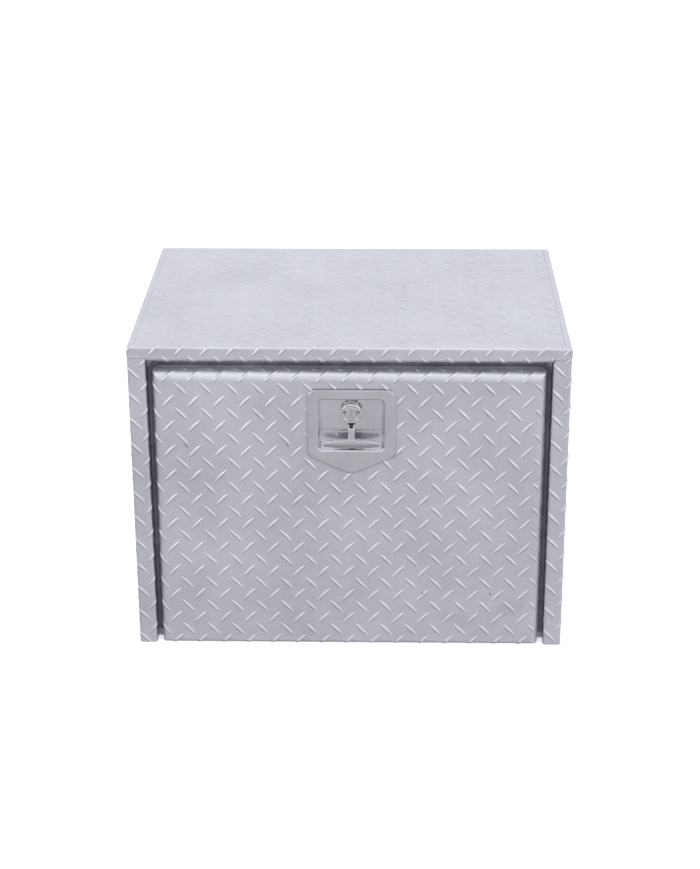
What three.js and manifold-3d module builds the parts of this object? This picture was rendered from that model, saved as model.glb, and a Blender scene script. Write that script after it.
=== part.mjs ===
// Underbody truck tool box in aluminium tread plate, with a drop-down door on a piano hinge
// and a folding T-handle latch in a recessed stainless pan.
// Millimetres, +Z up. The front faces -Y and the origin is the middle of the box's base.
import * as THREE from 'three';
import { mergeVertices } from 'three/addons/utils/BufferGeometryUtils.js';
import Module from 'manifold-3d';

const wasm = await Module();
wasm.setup();

// ---------------------------------------------------------------- driving dimensions
const WIDTH = 610;              // 24 in, side to side
const HEIGHT = 457;             // 18 in
const DEPTH = 457;              // 18 in, front flange to back sheet
const SHEET = 2.5;              // tread plate thickness
const GAP = 0.3;                // between pieces that touch
const BEND = 2.75;              // centre-line radius of a tight bend
const STILE = 25;               // width of the flange beside the door
const RAIL = 22;                // height of the flange above the door
const JOINT = 440.6;            // height where the rail's ends meet the tops of the stiles
const LIP_Y = 22.6;             // front face of the lip that carries the seal, behind the front plane
const LIP_SIDE = 18;            // how far the side lips reach into the doorway
const LIP_TOP = 35;             // how far the top lip hangs below the rail
const LIP_FLOOR = 45;           // height of the floor's front lip
const TOP_FOLD = 9;             // strip of the side sheet folded onto the top
const BACK_CORNER = 2.6;        // corner of the back sheet cut off inside the side sheet's fold

const DOOR_HALF = 271.5;        // half the width of the door
const DOOR_BOTTOM = 1;
const DOOR_TOP = 421;
const DOOR_DEPTH = 16;
const DOOR_BEND = 10;           // outer radius round the side edges
const DOOR_TOP_BEND = 14;       // outer radius round the top edge
const DOOR_FOOT_BEND = 4;       // outer radius of the bottom edge

const SEAL_HALF = 277;          // half the outer width of the bulb seal
const SEAL_TOP = 427;
const SEAL_BOTTOM = 29;
const SEAL_WIDE = 12;
const SEAL_CORNER = 14;

const BARREL_R = 3;             // hinge knuckle
const BORE_R = 1.6;
const PIN_R = 1.25;
const LEAF = 1.5;               // hinge leaf thickness
const LEAF_TOP = 26;
const HINGE_HALF = 262;         // half the hinge's length, to just clear the side lips
const KNUCKLES = 16;
const KNUCKLE_GAP = 0.4;
const HINGE_Y = DOOR_DEPTH + GAP + BARREL_R;
const HINGE_Z = 3.6;
const RIVETS = 5;               // in each leaf
const RIVET_SHIFT = 24;         // the two leaves' rivets are staggered
const RIVET_Z = 16;
const RIVET_R = 2;
const RIVET_HEAD_R = 3.4;
const RIVET_HEAD = 0.9;

const LATCH_X = 3;              // the latch sits a little right of centre
const LATCH_Z = 360;            // height of the spindle
const FLANGE_HALF = 61.5;
const FLANGE_TOP = 395.6;
const FLANGE_SHOULDER = 297;    // where the sides start to taper
const FLANGE_TIP = 270.7;
const FLANGE_TIP_HALF = 10;
const FLANGE_CORNER = 13;
const FLANGE_SHOULDER_R = 7;    // softening of the shoulder
const FLANGE_TIP_R = 2;         // softening of the tip
const FLANGE_FRONT = -2.8;
const FLANGE_THICK = 1.3;
const GASKET_THICK = 0.9;
const GASKET_LIFT = 1.5;        // the gasket stands a little proud of the flange's top edge
const RECESS_HALF = 45.5;
const RECESS_TOP = 380;
const RECESS_BOTTOM = 305.5;
const RECESS_CORNER = 5;
const RECESS_DEPTH = 12;        // flat upper floor
const TROUGH_TOP = 332;         // the floor drops away below this, behind the handle
const TROUGH_DEPTH = 18;
const PAN_WALL = 1.3;

const HEAD_R = 14.5;            // the head is an arch over the lock
const HEAD_FOOT = 10;           // its flat foot is this far below the spindle
const HEAD_FOOT_HALF = 11;
const HEAD_FRONT = -2.4;
const HEAD_BACK = 4;
const NECK_R = 9.5;             // round neck from the head to the pan's floor
const SPINDLE_R = 6;
const SPINDLE_END = 38;
const PLUG_R = 7.5;
const PIVOT_DROP = 20.5;        // handle pivot below the spindle
const PIVOT_Y = 4;
const PIVOT_PIN_R = 1.5;
const EYE_R = 4;
const TONGUE_HALF = 2.2;        // tongue of the head, between the two ears of the handle's stem
const STEM_HALF = 5;
const STEM_FRONT = -1.6;
const BAR_DROP = 46.3;          // handle bar below the spindle
const BAR_HALF = 39.5;
const BAR_FRONT = -2.5;
const BAR_BACK = 4.8;           // the bar is this deep in the middle and tapers to its ends
const BAR_END_BACK = 0.4;
const BAR_HIGH = 6;             // half height in the middle
const BAR_END_HIGH = 3.4;
const BAR_MIDDLE = 14;          // half length of the full-depth middle

const BACKING_FRONT = DOOR_DEPTH + GAP;
const BACKING_THICK = 2;
const BACKING_SPREAD = 58;      // half width of the backing frame
const STUD_X = 53;              // stud spacing either side of the spindle
const STUD_HIGH = 372;
const STUD_LOW = 314;
const STUD_R = 2;
const STUD_END = 25;
const NUT_R = 4;
const NUT_THICK = 3.2;

const STRIKE_HALF = 22;
const STRIKE_LOW = 402;
const STRIKE_HIGH = 428;
const STRIKE_THICK = 2.5;
const CAM_FRONT = LIP_Y + SHEET + GAP + STRIKE_THICK + 0.7;
const CAM_THICK = 3;
const CAM_REACH = 55;
const CAM_HALF = 9;
const BUSH_R = 10;
const WASHER_R = 11;
const WASHER_THICK = 1.2;
const CAM_NUT_R = 10;

const TAB_THICK = 2;            // cable anchor tabs
const TAB_SIZE = 20;
const TAB_EAR = 15;
const TAB_HOLE_R = 3;
const TAB_HOLE_IN = 6;          // from the ear's free edge
const TAB_FOOT = 10;            // half width of a plate, and depth of the plate on the box
const TAB_EAR_HALF = 8;         // half height of an ear
const BOX_TAB_Z = 300;
const BOX_TAB_Y = 29;
const DOOR_TAB_X = 250;
const DOOR_TAB_Z = 330;

// ---------------------------------------------------------------- materials
const metal = (color, roughness) => new THREE.MeshStandardMaterial({ color, roughness, metalness: 1 });
const treadPlate = metal(0xc6c8cf, 0.38);
const plainAluminium = metal(0xb9bbc2, 0.42);
const stainless = metal(0xa9abb2, 0.25);
const chrome = metal(0xd8d9dc, 0.12);
const zinc = metal(0x9c9ea3, 0.35);
const rubber = new THREE.MeshStandardMaterial({ color: 0x3a3b42, roughness: 0.85, metalness: 0 });

// ---------------------------------------------------------------- solids
// A closed geometry as a solid that can be joined and cut.
function solid(geometry) {
  const bare = geometry.clone();
  bare.deleteAttribute('normal');
  bare.deleteAttribute('uv');
  const merged = mergeVertices(bare, 1e-4);
  return new wasm.Manifold(new wasm.Mesh({
    numProp: 3,
    vertProperties: new Float32Array(merged.attributes.position.array),
    triVerts: new Uint32Array(merged.index.array),
  }));
}

function geometryOf(body) {
  const mesh = body.getMesh();
  const geometry = new THREE.BufferGeometry();
  geometry.setAttribute('position', new THREE.BufferAttribute(mesh.vertProperties, 3));
  geometry.setIndex(new THREE.BufferAttribute(mesh.triVerts, 1));
  return geometry;
}

function join(first, ...others) {
  return others.reduce((sum, other) => sum.add(other), first);
}

function cut(first, ...others) {
  return others.reduce((rest, other) => rest.subtract(other), first);
}

function block(x0, x1, y0, y1, z0, z1) {
  const geometry = new THREE.BoxGeometry(x1 - x0, y1 - y0, z1 - z0);
  geometry.translate((x0 + x1) / 2, (y0 + y1) / 2, (z0 + z1) / 2);
  return solid(geometry);
}

// A round bar or disc along one axis: 'x' or 'y'.
function rod(axis, centre, radius, from, to, segments = 24) {
  const geometry = new THREE.CylinderGeometry(radius, radius, to - from, segments);
  if (axis === 'x') {
    geometry.rotateZ(-Math.PI / 2);
    geometry.translate((from + to) / 2, centre[0], centre[1]);
  } else {
    geometry.translate(centre[0], (from + to) / 2, 0);
    geometry.translate(0, 0, centre[1]);
  }
  return solid(geometry);
}

const alongX = new THREE.Matrix4().set(0, 0, 1, 0, 1, 0, 0, 0, 0, 1, 0, 0, 0, 0, 0, 1);
const alongMinusY = new THREE.Matrix4().set(1, 0, 0, 0, 0, 0, -1, 0, 0, 1, 0, 0, 0, 0, 0, 1);

function extrude(shape, length, curveSegments = 5) {
  return new THREE.ExtrudeGeometry(shape, { depth: length, bevelEnabled: false, curveSegments });
}

// A side-view outline (y, z) run from x0 to x1.
function runAlongX(shape, x0, x1) {
  const geometry = extrude(shape, x1 - x0);
  geometry.applyMatrix4(alongX);
  geometry.translate(x0, 0, 0);
  return solid(geometry);
}

// A front-view outline (x, z) run from y0 back to y1.
function runAlongY(shape, y0, y1, curveSegments) {
  const geometry = extrude(shape, y1 - y0, curveSegments);
  geometry.applyMatrix4(alongMinusY);
  geometry.translate(0, y1, 0);
  return solid(geometry);
}

// A plan outline (x, y) run from z0 up to z1.
function runAlongZ(shape, z0, z1) {
  const geometry = extrude(shape, z1 - z0);
  geometry.translate(0, 0, z0);
  return solid(geometry);
}

function outline(points) {
  return new THREE.Shape(points.map(([a, b]) => new THREE.Vector2(a, b)));
}

function roundedRectangle(a0, a1, b0, b1, radius) {
  const shape = new THREE.Shape();
  shape.moveTo(a0 + radius, b0);
  shape.lineTo(a1 - radius, b0);
  shape.absarc(a1 - radius, b0 + radius, radius, -Math.PI / 2, 0);
  shape.lineTo(a1, b1 - radius);
  shape.absarc(a1 - radius, b1 - radius, radius, 0, Math.PI / 2);
  shape.lineTo(a0 + radius, b1);
  shape.absarc(a0 + radius, b1 - radius, radius, Math.PI / 2, Math.PI);
  shape.lineTo(a0, b0 + radius);
  shape.absarc(a0 + radius, b0 + radius, radius, Math.PI, Math.PI * 1.5);
  return shape;
}

// The cross-section of a bent strip: a centre line whose corners are arcs, thickened both ways.
function bentStrip(corners, radius = BEND, steps = 4) {
  const line = corners.map(([a, b]) => new THREE.Vector2(a, b));
  const path = [line[0].clone()];
  for (let i = 1; i < line.length - 1; i += 1) {
    const before = line[i - 1].clone().sub(line[i]).normalize();
    const after = line[i + 1].clone().sub(line[i]).normalize();
    const centre = line[i].clone().addScaledVector(before, radius).addScaledVector(after, radius);
    for (let step = 0; step <= steps; step += 1) {
      const turn = (step / steps) * (Math.PI / 2);
      path.push(centre.clone()
        .addScaledVector(after, -radius * Math.cos(turn))
        .addScaledVector(before, -radius * Math.sin(turn)));
    }
  }
  path.push(line.at(-1).clone());
  const left = [];
  const right = [];
  path.forEach((point, i) => {
    const ahead = path[Math.min(i + 1, path.length - 1)];
    const behind = path[Math.max(i - 1, 0)];
    const along = sheetDirection(i, path, ahead, behind);
    const side = new THREE.Vector2(-along.y, along.x).multiplyScalar(SHEET / 2);
    left.push(point.clone().add(side));
    right.unshift(point.clone().sub(side));
  });
  return new THREE.Shape([...left, ...right]);
}

// The strip's direction at a point: straight stretches keep theirs up to the first point of a bend.
function sheetDirection(i, path, ahead, behind) {
  const into = path[i].clone().sub(behind);
  const out = ahead.clone().sub(path[i]);
  const longer = into.length() > out.length() ? into : out;
  const isBendEnd = Math.abs(into.length() - out.length()) > 0.5 * Math.max(into.length(), out.length());
  return (isBendEnd ? longer : ahead.clone().sub(behind)).normalize();
}

// ---------------------------------------------------------------- box shell
const half = WIDTH / 2;
const railBottom = HEIGHT - RAIL;
const middle = SHEET / 2;

function topPanel() {
  const profile = bentStrip([
    [DEPTH, HEIGHT - middle],
    [middle, HEIGHT - middle],
    [middle, railBottom + middle],
    [LIP_Y + middle, railBottom + middle],
    [LIP_Y + middle, HEIGHT - RAIL - LIP_TOP],
  ]);
  const lipHalf = half - STILE - LIP_SIDE - GAP;
  const stripHalf = half - TOP_FOLD - GAP;
  const cuts = [-1, 1].flatMap((side) => {
    const [lipIn, lipOut] = [side * lipHalf, side * (half + 1)].sort((a, b) => a - b);
    const [stripIn, stripOut] = [side * stripHalf, side * (half + 1)].sort((a, b) => a - b);
    const [stileIn, stileOut] = [side * (half - STILE), side * (half + 1)].sort((a, b) => a - b);
    return [
      block(stileIn, stileOut, -1, SHEET + 2 * GAP, railBottom - 1, JOINT),
      block(lipIn, lipOut, SHEET + GAP, LIP_Y + 10, railBottom - LIP_TOP - 1, railBottom + 8),
      block(stripIn, stripOut, BEND + SHEET, DEPTH + 1, railBottom, HEIGHT + 1),
    ];
  });
  return cut(runAlongX(profile, -half, half), ...cuts);
}

function sidePanel(side) {
  const plan = bentStrip([
    [side * (half - middle), DEPTH],
    [side * (half - middle), middle],
    [side * (half - STILE + middle), middle],
    [side * (half - STILE + middle), LIP_Y + middle],
    [side * (half - STILE - LIP_SIDE), LIP_Y + middle],
  ]);
  const stile = runAlongZ(plan, 0, railBottom - GAP);
  const [stileOut, stileIn] = [side * (half + 1), side * (half - STILE)];
  const [tip0, tip1] = [stileOut, stileIn].sort((a, b) => a - b);
  const stileTip = runAlongZ(plan, railBottom - 1, JOINT - GAP)
    .intersect(block(tip0, tip1, -1, SHEET, railBottom - 2, JOINT));
  const [outer, inner] = [half, half - SHEET];
  const [x0, x1] = [side * outer, side * inner].sort((a, b) => a - b);
  const backOfRail = BEND + SHEET + GAP;
  const upper = block(x0, x1, backOfRail, DEPTH, railBottom - BEND, HEIGHT - BEND - middle);
  const fold = bentStrip([
    [side * (half - middle), railBottom],
    [side * (half - middle), HEIGHT - middle],
    [side * (half - TOP_FOLD), HEIGHT - middle],
  ]);
  const foldRun = runAlongY(fold, backOfRail, DEPTH);
  return join(stile, stileTip, upper, foldRun);
}

function backPanel() {
  const inside = half - SHEET - GAP;
  const top = HEIGHT - SHEET - GAP;
  const sheet = outline([
    [-inside, 0],
    [inside, 0],
    [inside, top - BACK_CORNER],
    [inside - BACK_CORNER, top],
    [-inside + BACK_CORNER, top],
    [-inside, top - BACK_CORNER],
  ]);
  return runAlongY(sheet, DEPTH - SHEET, DEPTH);
}

function floorPanel() {
  const inside = half - SHEET - GAP;
  const lipHalf = half - STILE - LIP_SIDE - GAP;
  const profile = bentStrip([
    [DEPTH - SHEET - GAP, middle],
    [LIP_Y + middle, middle],
    [LIP_Y + middle, LIP_FLOOR],
  ]);
  const ends = [-1, 1].map((side) => {
    const [x0, x1] = [side * lipHalf, side * (inside + 1)].sort((a, b) => a - b);
    return block(x0, x1, 0, LIP_Y + SHEET + GAP, -1, LIP_FLOOR + 1);
  });
  const frontCorners = [-1, 1].map((side) => {
    const [x0, x1] = [side * lipHalf, side * (inside + 1)].sort((a, b) => a - b);
    return block(x0, x1, 0, LIP_Y + BEND * 2 + SHEET, SHEET + GAP, LIP_FLOOR + 1);
  });
  const rivetHoles = rivetPlaces(RIVET_SHIFT).map(
    (x) => rod('y', [x, RIVET_Z], RIVET_R + GAP, LIP_Y - 1, LIP_Y + SHEET + 1, 10),
  );
  return cut(runAlongX(profile, -inside, inside), ...ends, ...frontCorners, ...rivetHoles);
}

// The bulb seal: a rounded ring, softly chamfered towards the door.
function doorSeal() {
  const ring = (inset, y0, y1) => runAlongY(
    roundedRectangle(
      -SEAL_HALF + inset,
      SEAL_HALF - inset,
      SEAL_BOTTOM + inset,
      SEAL_TOP - inset,
      SEAL_CORNER - inset,
    ),
    y0,
    y1,
  );
  const front = DOOR_DEPTH + GAP;
  const back = LIP_Y - GAP;
  const chamfer = 2;
  const bulb = join(ring(chamfer, front, back), ring(0, front + chamfer, back));
  const hole = SEAL_WIDE;
  return cut(bulb, ring(hole, front - 1, back + 1), ring(hole - chamfer, front - 1, front + chamfer));
}

// ---------------------------------------------------------------- door
function recessOutline(grow) {
  return roundedRectangle(
    LATCH_X - RECESS_HALF - grow,
    LATCH_X + RECESS_HALF + grow,
    RECESS_BOTTOM - grow,
    RECESS_TOP + grow,
    RECESS_CORNER,
  );
}

function latchHole(y0, y1) {
  return runAlongY(recessOutline(PAN_WALL + GAP), y0, y1);
}

function studHoles(y0, y1) {
  return studPlaces().map(([x, z]) => rod('y', [x, z], STUD_R + GAP, y0, y1, 12));
}

function studPlaces() {
  return [-STUD_X, STUD_X].flatMap((x) => [STUD_HIGH, STUD_LOW].map((z) => [LATCH_X + x, z]));
}

// The door's outer form grown inwards by an inset: bent at the sides, the top and the foot.
function doorForm(inset, back) {
  const side = DOOR_HALF - inset;
  const bend = DOOR_BEND - inset;
  const plan = new THREE.Shape();
  plan.moveTo(side, back);
  plan.lineTo(-side, back);
  plan.lineTo(-side, DOOR_BEND);
  plan.absarc(-side + bend, DOOR_BEND, bend, Math.PI, Math.PI * 1.5);
  plan.lineTo(side - bend, inset);
  plan.absarc(side - bend, DOOR_BEND, bend, Math.PI * 1.5, Math.PI * 2);
  const top = DOOR_TOP - inset;
  const foot = DOOR_BOTTOM + inset;
  const topBend = DOOR_TOP_BEND - inset;
  const footBend = DOOR_FOOT_BEND - inset;
  const profile = new THREE.Shape();
  profile.moveTo(back, foot);
  profile.lineTo(back, top);
  profile.lineTo(DOOR_TOP_BEND, top);
  profile.absarc(DOOR_TOP_BEND, top - topBend, topBend, Math.PI / 2, Math.PI);
  profile.lineTo(inset, foot + footBend);
  profile.absarc(inset + footBend, foot + footBend, footBend, Math.PI, Math.PI * 1.5);
  return runAlongZ(plan, foot - 1, top + 1).intersect(runAlongX(profile, -side - 1, side + 1));
}

function doorSkin() {
  const hollow = doorForm(SHEET, DOOR_DEPTH + 1);
  return cut(doorForm(0, DOOR_DEPTH), hollow, latchHole(-1, SHEET + 1), ...studHoles(-1, SHEET + 1));
}

function doorLiner() {
  const reach = DOOR_HALF - SHEET - GAP;
  const low = DOOR_BOTTOM + SHEET + GAP;
  const high = DOOR_TOP - SHEET - GAP;
  const y0 = DOOR_DEPTH - SHEET;
  const plate = block(-reach, reach, y0, DOOR_DEPTH, low, high);
  const rivetHoles = rivetPlaces(0).map(
    (x) => rod('y', [x, RIVET_Z], RIVET_R + GAP, y0 - 1, DOOR_DEPTH + 1, 10),
  );
  const clear = [-1, DOOR_DEPTH + 1];
  return cut(plate, latchHole(...clear), ...studHoles(...clear), ...rivetHoles);
}

// ---------------------------------------------------------------- hinge
function rivetPlaces(shift) {
  const pitch = (2 * HINGE_HALF) / RIVETS;
  return Array.from({ length: RIVETS }, (_, i) => -HINGE_HALF + pitch * (i + 0.5) + shift);
}

// A leaf with every other knuckle. parity 0 starts with the first knuckle, parity 1 with the second.
function hingeLeaf(leafFront, parity, shift) {
  const pitch = (2 * HINGE_HALF) / KNUCKLES;
  const centre = [HINGE_Y, HINGE_Z];
  const clearOfBarrel = HINGE_Z + BARREL_R + GAP;
  let leaf = block(-HINGE_HALF, HINGE_HALF, leafFront, leafFront + LEAF, clearOfBarrel, LEAF_TOP);
  for (let i = parity; i < KNUCKLES; i += 2) {
    const x0 = -HINGE_HALF + pitch * i + KNUCKLE_GAP / 2;
    const x1 = x0 + pitch - KNUCKLE_GAP;
    const strap = block(x0, x1, leafFront, leafFront + LEAF, HINGE_Z, clearOfBarrel);
    leaf = join(leaf, strap, rod('x', centre, BARREL_R, x0, x1, 16));
  }
  const bore = rod('x', centre, BORE_R, -HINGE_HALF - 1, HINGE_HALF + 1, 12);
  const holes = rivetPlaces(shift).map(
    (x) => rod('y', [x, RIVET_Z], RIVET_R + GAP, leafFront - 1, leafFront + LEAF + 1, 10),
  );
  return cut(leaf, bore, ...holes);
}

// A blind rivet along Y: a domed head at one end, a flat tail at the other.
function rivet(x, headY, headSide, tailY) {
  const [h0, h1] = [headY, headY + headSide * RIVET_HEAD].sort((a, b) => a - b);
  const [t0, t1] = [tailY, tailY - headSide * RIVET_HEAD].sort((a, b) => a - b);
  const [s0, s1] = [headY, tailY].sort((a, b) => a - b);
  return join(
    rod('y', [x, RIVET_Z], RIVET_R, s0, s1, 10),
    rod('y', [x, RIVET_Z], RIVET_HEAD_R, h0, h1, 12),
    rod('y', [x, RIVET_Z], RIVET_HEAD_R, t0, t1, 12),
  );
}

// ---------------------------------------------------------------- latch
function flangeOutline(inset) {
  const halfWide = FLANGE_HALF - inset;
  const top = FLANGE_TOP - inset;
  const tip = FLANGE_TIP + inset;
  const corner = FLANGE_CORNER - inset;
  const shoulder = FLANGE_SHOULDER_R;
  const slope = (FLANGE_SHOULDER - FLANGE_TIP) / (FLANGE_HALF - FLANGE_TIP_HALF);
  const shape = new THREE.Shape();
  shape.moveTo(LATCH_X + halfWide, FLANGE_SHOULDER + shoulder);
  shape.lineTo(LATCH_X + halfWide, top - corner);
  shape.absarc(LATCH_X + halfWide - corner, top - corner, corner, 0, Math.PI / 2);
  shape.lineTo(LATCH_X - halfWide + corner, top);
  shape.absarc(LATCH_X - halfWide + corner, top - corner, corner, Math.PI / 2, Math.PI);
  shape.lineTo(LATCH_X - halfWide, FLANGE_SHOULDER + shoulder);
  shape.quadraticCurveTo(
    LATCH_X - halfWide,
    FLANGE_SHOULDER,
    LATCH_X - halfWide + shoulder,
    FLANGE_SHOULDER - shoulder * slope,
  );
  shape.lineTo(LATCH_X - FLANGE_TIP_HALF, tip + FLANGE_TIP_R);
  shape.quadraticCurveTo(
    LATCH_X,
    tip - FLANGE_TIP_R,
    LATCH_X + FLANGE_TIP_HALF,
    tip + FLANGE_TIP_R,
  );
  shape.lineTo(LATCH_X + halfWide - shoulder, FLANGE_SHOULDER - shoulder * slope);
  shape.quadraticCurveTo(
    LATCH_X + halfWide,
    FLANGE_SHOULDER,
    LATCH_X + halfWide,
    FLANGE_SHOULDER + shoulder,
  );
  return shape;
}

function latchPan() {
  const flange = runAlongY(flangeOutline(0), FLANGE_FRONT, FLANGE_FRONT + FLANGE_THICK);
  const walls = runAlongY(recessOutline(PAN_WALL), FLANGE_FRONT, RECESS_DEPTH + PAN_WALL);
  const troughOutline = (grow) => roundedRectangle(
    LATCH_X - RECESS_HALF - grow,
    LATCH_X + RECESS_HALF + grow,
    RECESS_BOTTOM - grow,
    TROUGH_TOP + grow,
    RECESS_CORNER,
  );
  const trough = runAlongY(troughOutline(PAN_WALL), RECESS_DEPTH - 2, TROUGH_DEPTH + PAN_WALL);
  const inside = runAlongY(recessOutline(0), FLANGE_FRONT - 1, RECESS_DEPTH);
  const troughInside = runAlongY(troughOutline(0), RECESS_DEPTH - 2, TROUGH_DEPTH);
  const hub = rod('y', [LATCH_X, LATCH_Z], SPINDLE_R + GAP, RECESS_DEPTH - 1, RECESS_DEPTH + 5, 24);
  return cut(join(flange, walls, trough), inside, troughInside, hub);
}

function latchGasket() {
  const y0 = FLANGE_FRONT + FLANGE_THICK + GAP;
  const sheet = runAlongY(flangeOutline(1), y0, y0 + GASKET_THICK).translate([0, 0, GASKET_LIFT]);
  return cut(sheet, latchHole(y0 - 1, y0 + GASKET_THICK + 1), ...studHoles(y0 - 1, y0 + GASKET_THICK + 1));
}

function backingFrame() {
  const y1 = BACKING_FRONT + BACKING_THICK;
  const plate = runAlongY(
    roundedRectangle(
      LATCH_X - BACKING_SPREAD,
      LATCH_X + BACKING_SPREAD,
      RECESS_BOTTOM - 9,
      RECESS_TOP + 9,
      6,
    ),
    BACKING_FRONT,
    y1,
  );
  return cut(plate, latchHole(BACKING_FRONT - 1, y1 + 1), ...studHoles(BACKING_FRONT - 1, y1 + 1));
}

function stud(x, z) {
  const start = FLANGE_FRONT + FLANGE_THICK + GAP;
  return rod('y', [x, z], STUD_R, start, STUD_END, 12);
}

function nut(x, z) {
  const y0 = BACKING_FRONT + BACKING_THICK + GAP;
  return cut(
    rod('y', [x, z], NUT_R, y0, y0 + NUT_THICK, 6),
    rod('y', [x, z], STUD_R + GAP, y0 - 1, y0 + NUT_THICK + 1, 12),
  );
}

// The arched head, the tongue that carries the handle, and the spindle through the pan, in one casting.
function latchHub() {
  const centre = [LATCH_X, LATCH_Z];
  const floorFace = RECESS_DEPTH - GAP;
  const pivotZ = LATCH_Z - PIVOT_DROP;
  const arch = new THREE.Shape();
  arch.moveTo(LATCH_X + HEAD_FOOT_HALF, LATCH_Z - HEAD_FOOT);
  arch.lineTo(LATCH_X + HEAD_R, LATCH_Z);
  arch.absarc(LATCH_X, LATCH_Z, HEAD_R, 0, Math.PI);
  arch.lineTo(LATCH_X - HEAD_FOOT_HALF, LATCH_Z - HEAD_FOOT);
  const head = runAlongY(arch, HEAD_FRONT, HEAD_BACK, 12);
  const neck = rod('y', centre, NECK_R, HEAD_BACK, floorFace, 24);
  const [x0, x1] = [LATCH_X - TONGUE_HALF, LATCH_X + TONGUE_HALF];
  const tongue = join(
    rod('x', [PIVOT_Y, pivotZ], EYE_R, x0, x1, 16),
    block(x0, x1, PIVOT_Y - 1, PIVOT_Y + EYE_R, pivotZ, LATCH_Z - HEAD_FOOT + 2),
  );
  const spindle = rod('y', centre, SPINDLE_R, floorFace - 1, SPINDLE_END, 24);
  const plugBore = rod('y', centre, PLUG_R + GAP, HEAD_FRONT - 1, floorFace - 2, 24);
  const pinBore = rod('x', [PIVOT_Y, pivotZ], PIVOT_PIN_R + GAP, LATCH_X - 20, LATCH_X + 20, 12);
  return cut(join(head, neck, spindle, tongue), plugBore, pinBore);
}

// The key plug, with its keyway.
function lockPlug() {
  const front = HEAD_FRONT + 0.6;
  const back = RECESS_DEPTH - 2 - GAP * 2;
  const plug = rod('y', [LATCH_X, LATCH_Z], PLUG_R, front, back, 24);
  const keyway = block(LATCH_X - 0.8, LATCH_X + 0.8, front - 1, front + 5, LATCH_Z - 4.2, LATCH_Z + 4.2);
  return cut(plug, keyway);
}

// A bar that tapers to its ends, below a stem whose two ears sit on the pivot pin.
function tHandle() {
  const barZ = LATCH_Z - BAR_DROP;
  const pivotZ = LATCH_Z - PIVOT_DROP;
  const front = new THREE.Shape();
  const shoulder = BAR_HALF - BAR_END_HIGH;
  front.moveTo(LATCH_X - shoulder, barZ - BAR_END_HIGH);
  front.lineTo(LATCH_X - BAR_MIDDLE, barZ - BAR_HIGH);
  front.lineTo(LATCH_X + BAR_MIDDLE, barZ - BAR_HIGH);
  front.lineTo(LATCH_X + shoulder, barZ - BAR_END_HIGH);
  front.absarc(LATCH_X + shoulder, barZ, BAR_END_HIGH, -Math.PI / 2, Math.PI / 2);
  front.lineTo(LATCH_X + BAR_MIDDLE, barZ + BAR_HIGH);
  front.lineTo(LATCH_X - BAR_MIDDLE, barZ + BAR_HIGH);
  front.lineTo(LATCH_X - shoulder, barZ + BAR_END_HIGH);
  front.absarc(LATCH_X - shoulder, barZ, BAR_END_HIGH, Math.PI / 2, Math.PI * 1.5);
  const plan = outline([
    [LATCH_X - BAR_HALF, BAR_FRONT],
    [LATCH_X + BAR_HALF, BAR_FRONT],
    [LATCH_X + BAR_HALF, BAR_END_BACK],
    [LATCH_X + BAR_MIDDLE, BAR_BACK],
    [LATCH_X - BAR_MIDDLE, BAR_BACK],
    [LATCH_X - BAR_HALF, BAR_END_BACK],
  ]);
  const bar = runAlongY(front, BAR_FRONT, BAR_BACK).intersect(
    runAlongZ(plan, barZ - BAR_HIGH - 1, barZ + BAR_HIGH + 1),
  );
  const section = new THREE.Shape();
  section.moveTo(BAR_FRONT, barZ);
  section.lineTo(BAR_BACK, barZ);
  section.lineTo(PIVOT_Y + EYE_R, pivotZ);
  section.absarc(PIVOT_Y, pivotZ, EYE_R, 0, Math.PI * 0.75);
  section.lineTo(STEM_FRONT, pivotZ - 3);
  const stem = runAlongX(section, LATCH_X - STEM_HALF, LATCH_X + STEM_HALF);
  const slot = TONGUE_HALF + GAP;
  const clearOfTongue = rod('x', [PIVOT_Y, pivotZ], EYE_R + 1, LATCH_X - slot, LATCH_X + slot, 16);
  const bore = rod('x', [PIVOT_Y, pivotZ], PIVOT_PIN_R + GAP, LATCH_X - 20, LATCH_X + 20, 12);
  return cut(join(bar, stem), clearOfTongue, bore);
}

function handlePin() {
  const pivot = [PIVOT_Y, LATCH_Z - PIVOT_DROP];
  return rod('x', pivot, PIVOT_PIN_R, LATCH_X - STEM_HALF - GAP, LATCH_X + STEM_HALF + GAP, 12);
}

function ringOnSpindle(radius, y0, y1, segments) {
  const centre = [LATCH_X, LATCH_Z];
  return cut(
    rod('y', centre, radius, y0, y1, segments),
    rod('y', centre, SPINDLE_R + GAP, y0 - 1, y1 + 1, 24),
  );
}

// The latch bar: a plate on the spindle that stands up behind the strike.
function latchCam() {
  const plate = runAlongY(
    roundedRectangle(
      LATCH_X - CAM_HALF,
      LATCH_X + CAM_HALF,
      LATCH_Z - CAM_HALF,
      LATCH_Z + CAM_REACH,
      4,
    ),
    CAM_FRONT,
    CAM_FRONT + CAM_THICK,
  );
  const bore = [CAM_FRONT - 1, CAM_FRONT + CAM_THICK + 1];
  return cut(plate, rod('y', [LATCH_X, LATCH_Z], SPINDLE_R + GAP, ...bore, 24));
}

function strikePlate() {
  const y0 = LIP_Y + SHEET + GAP;
  return runAlongY(
    roundedRectangle(LATCH_X - STRIKE_HALF, LATCH_X + STRIKE_HALF, STRIKE_LOW, STRIKE_HIGH, 3),
    y0,
    y0 + STRIKE_THICK,
  );
}

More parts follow.
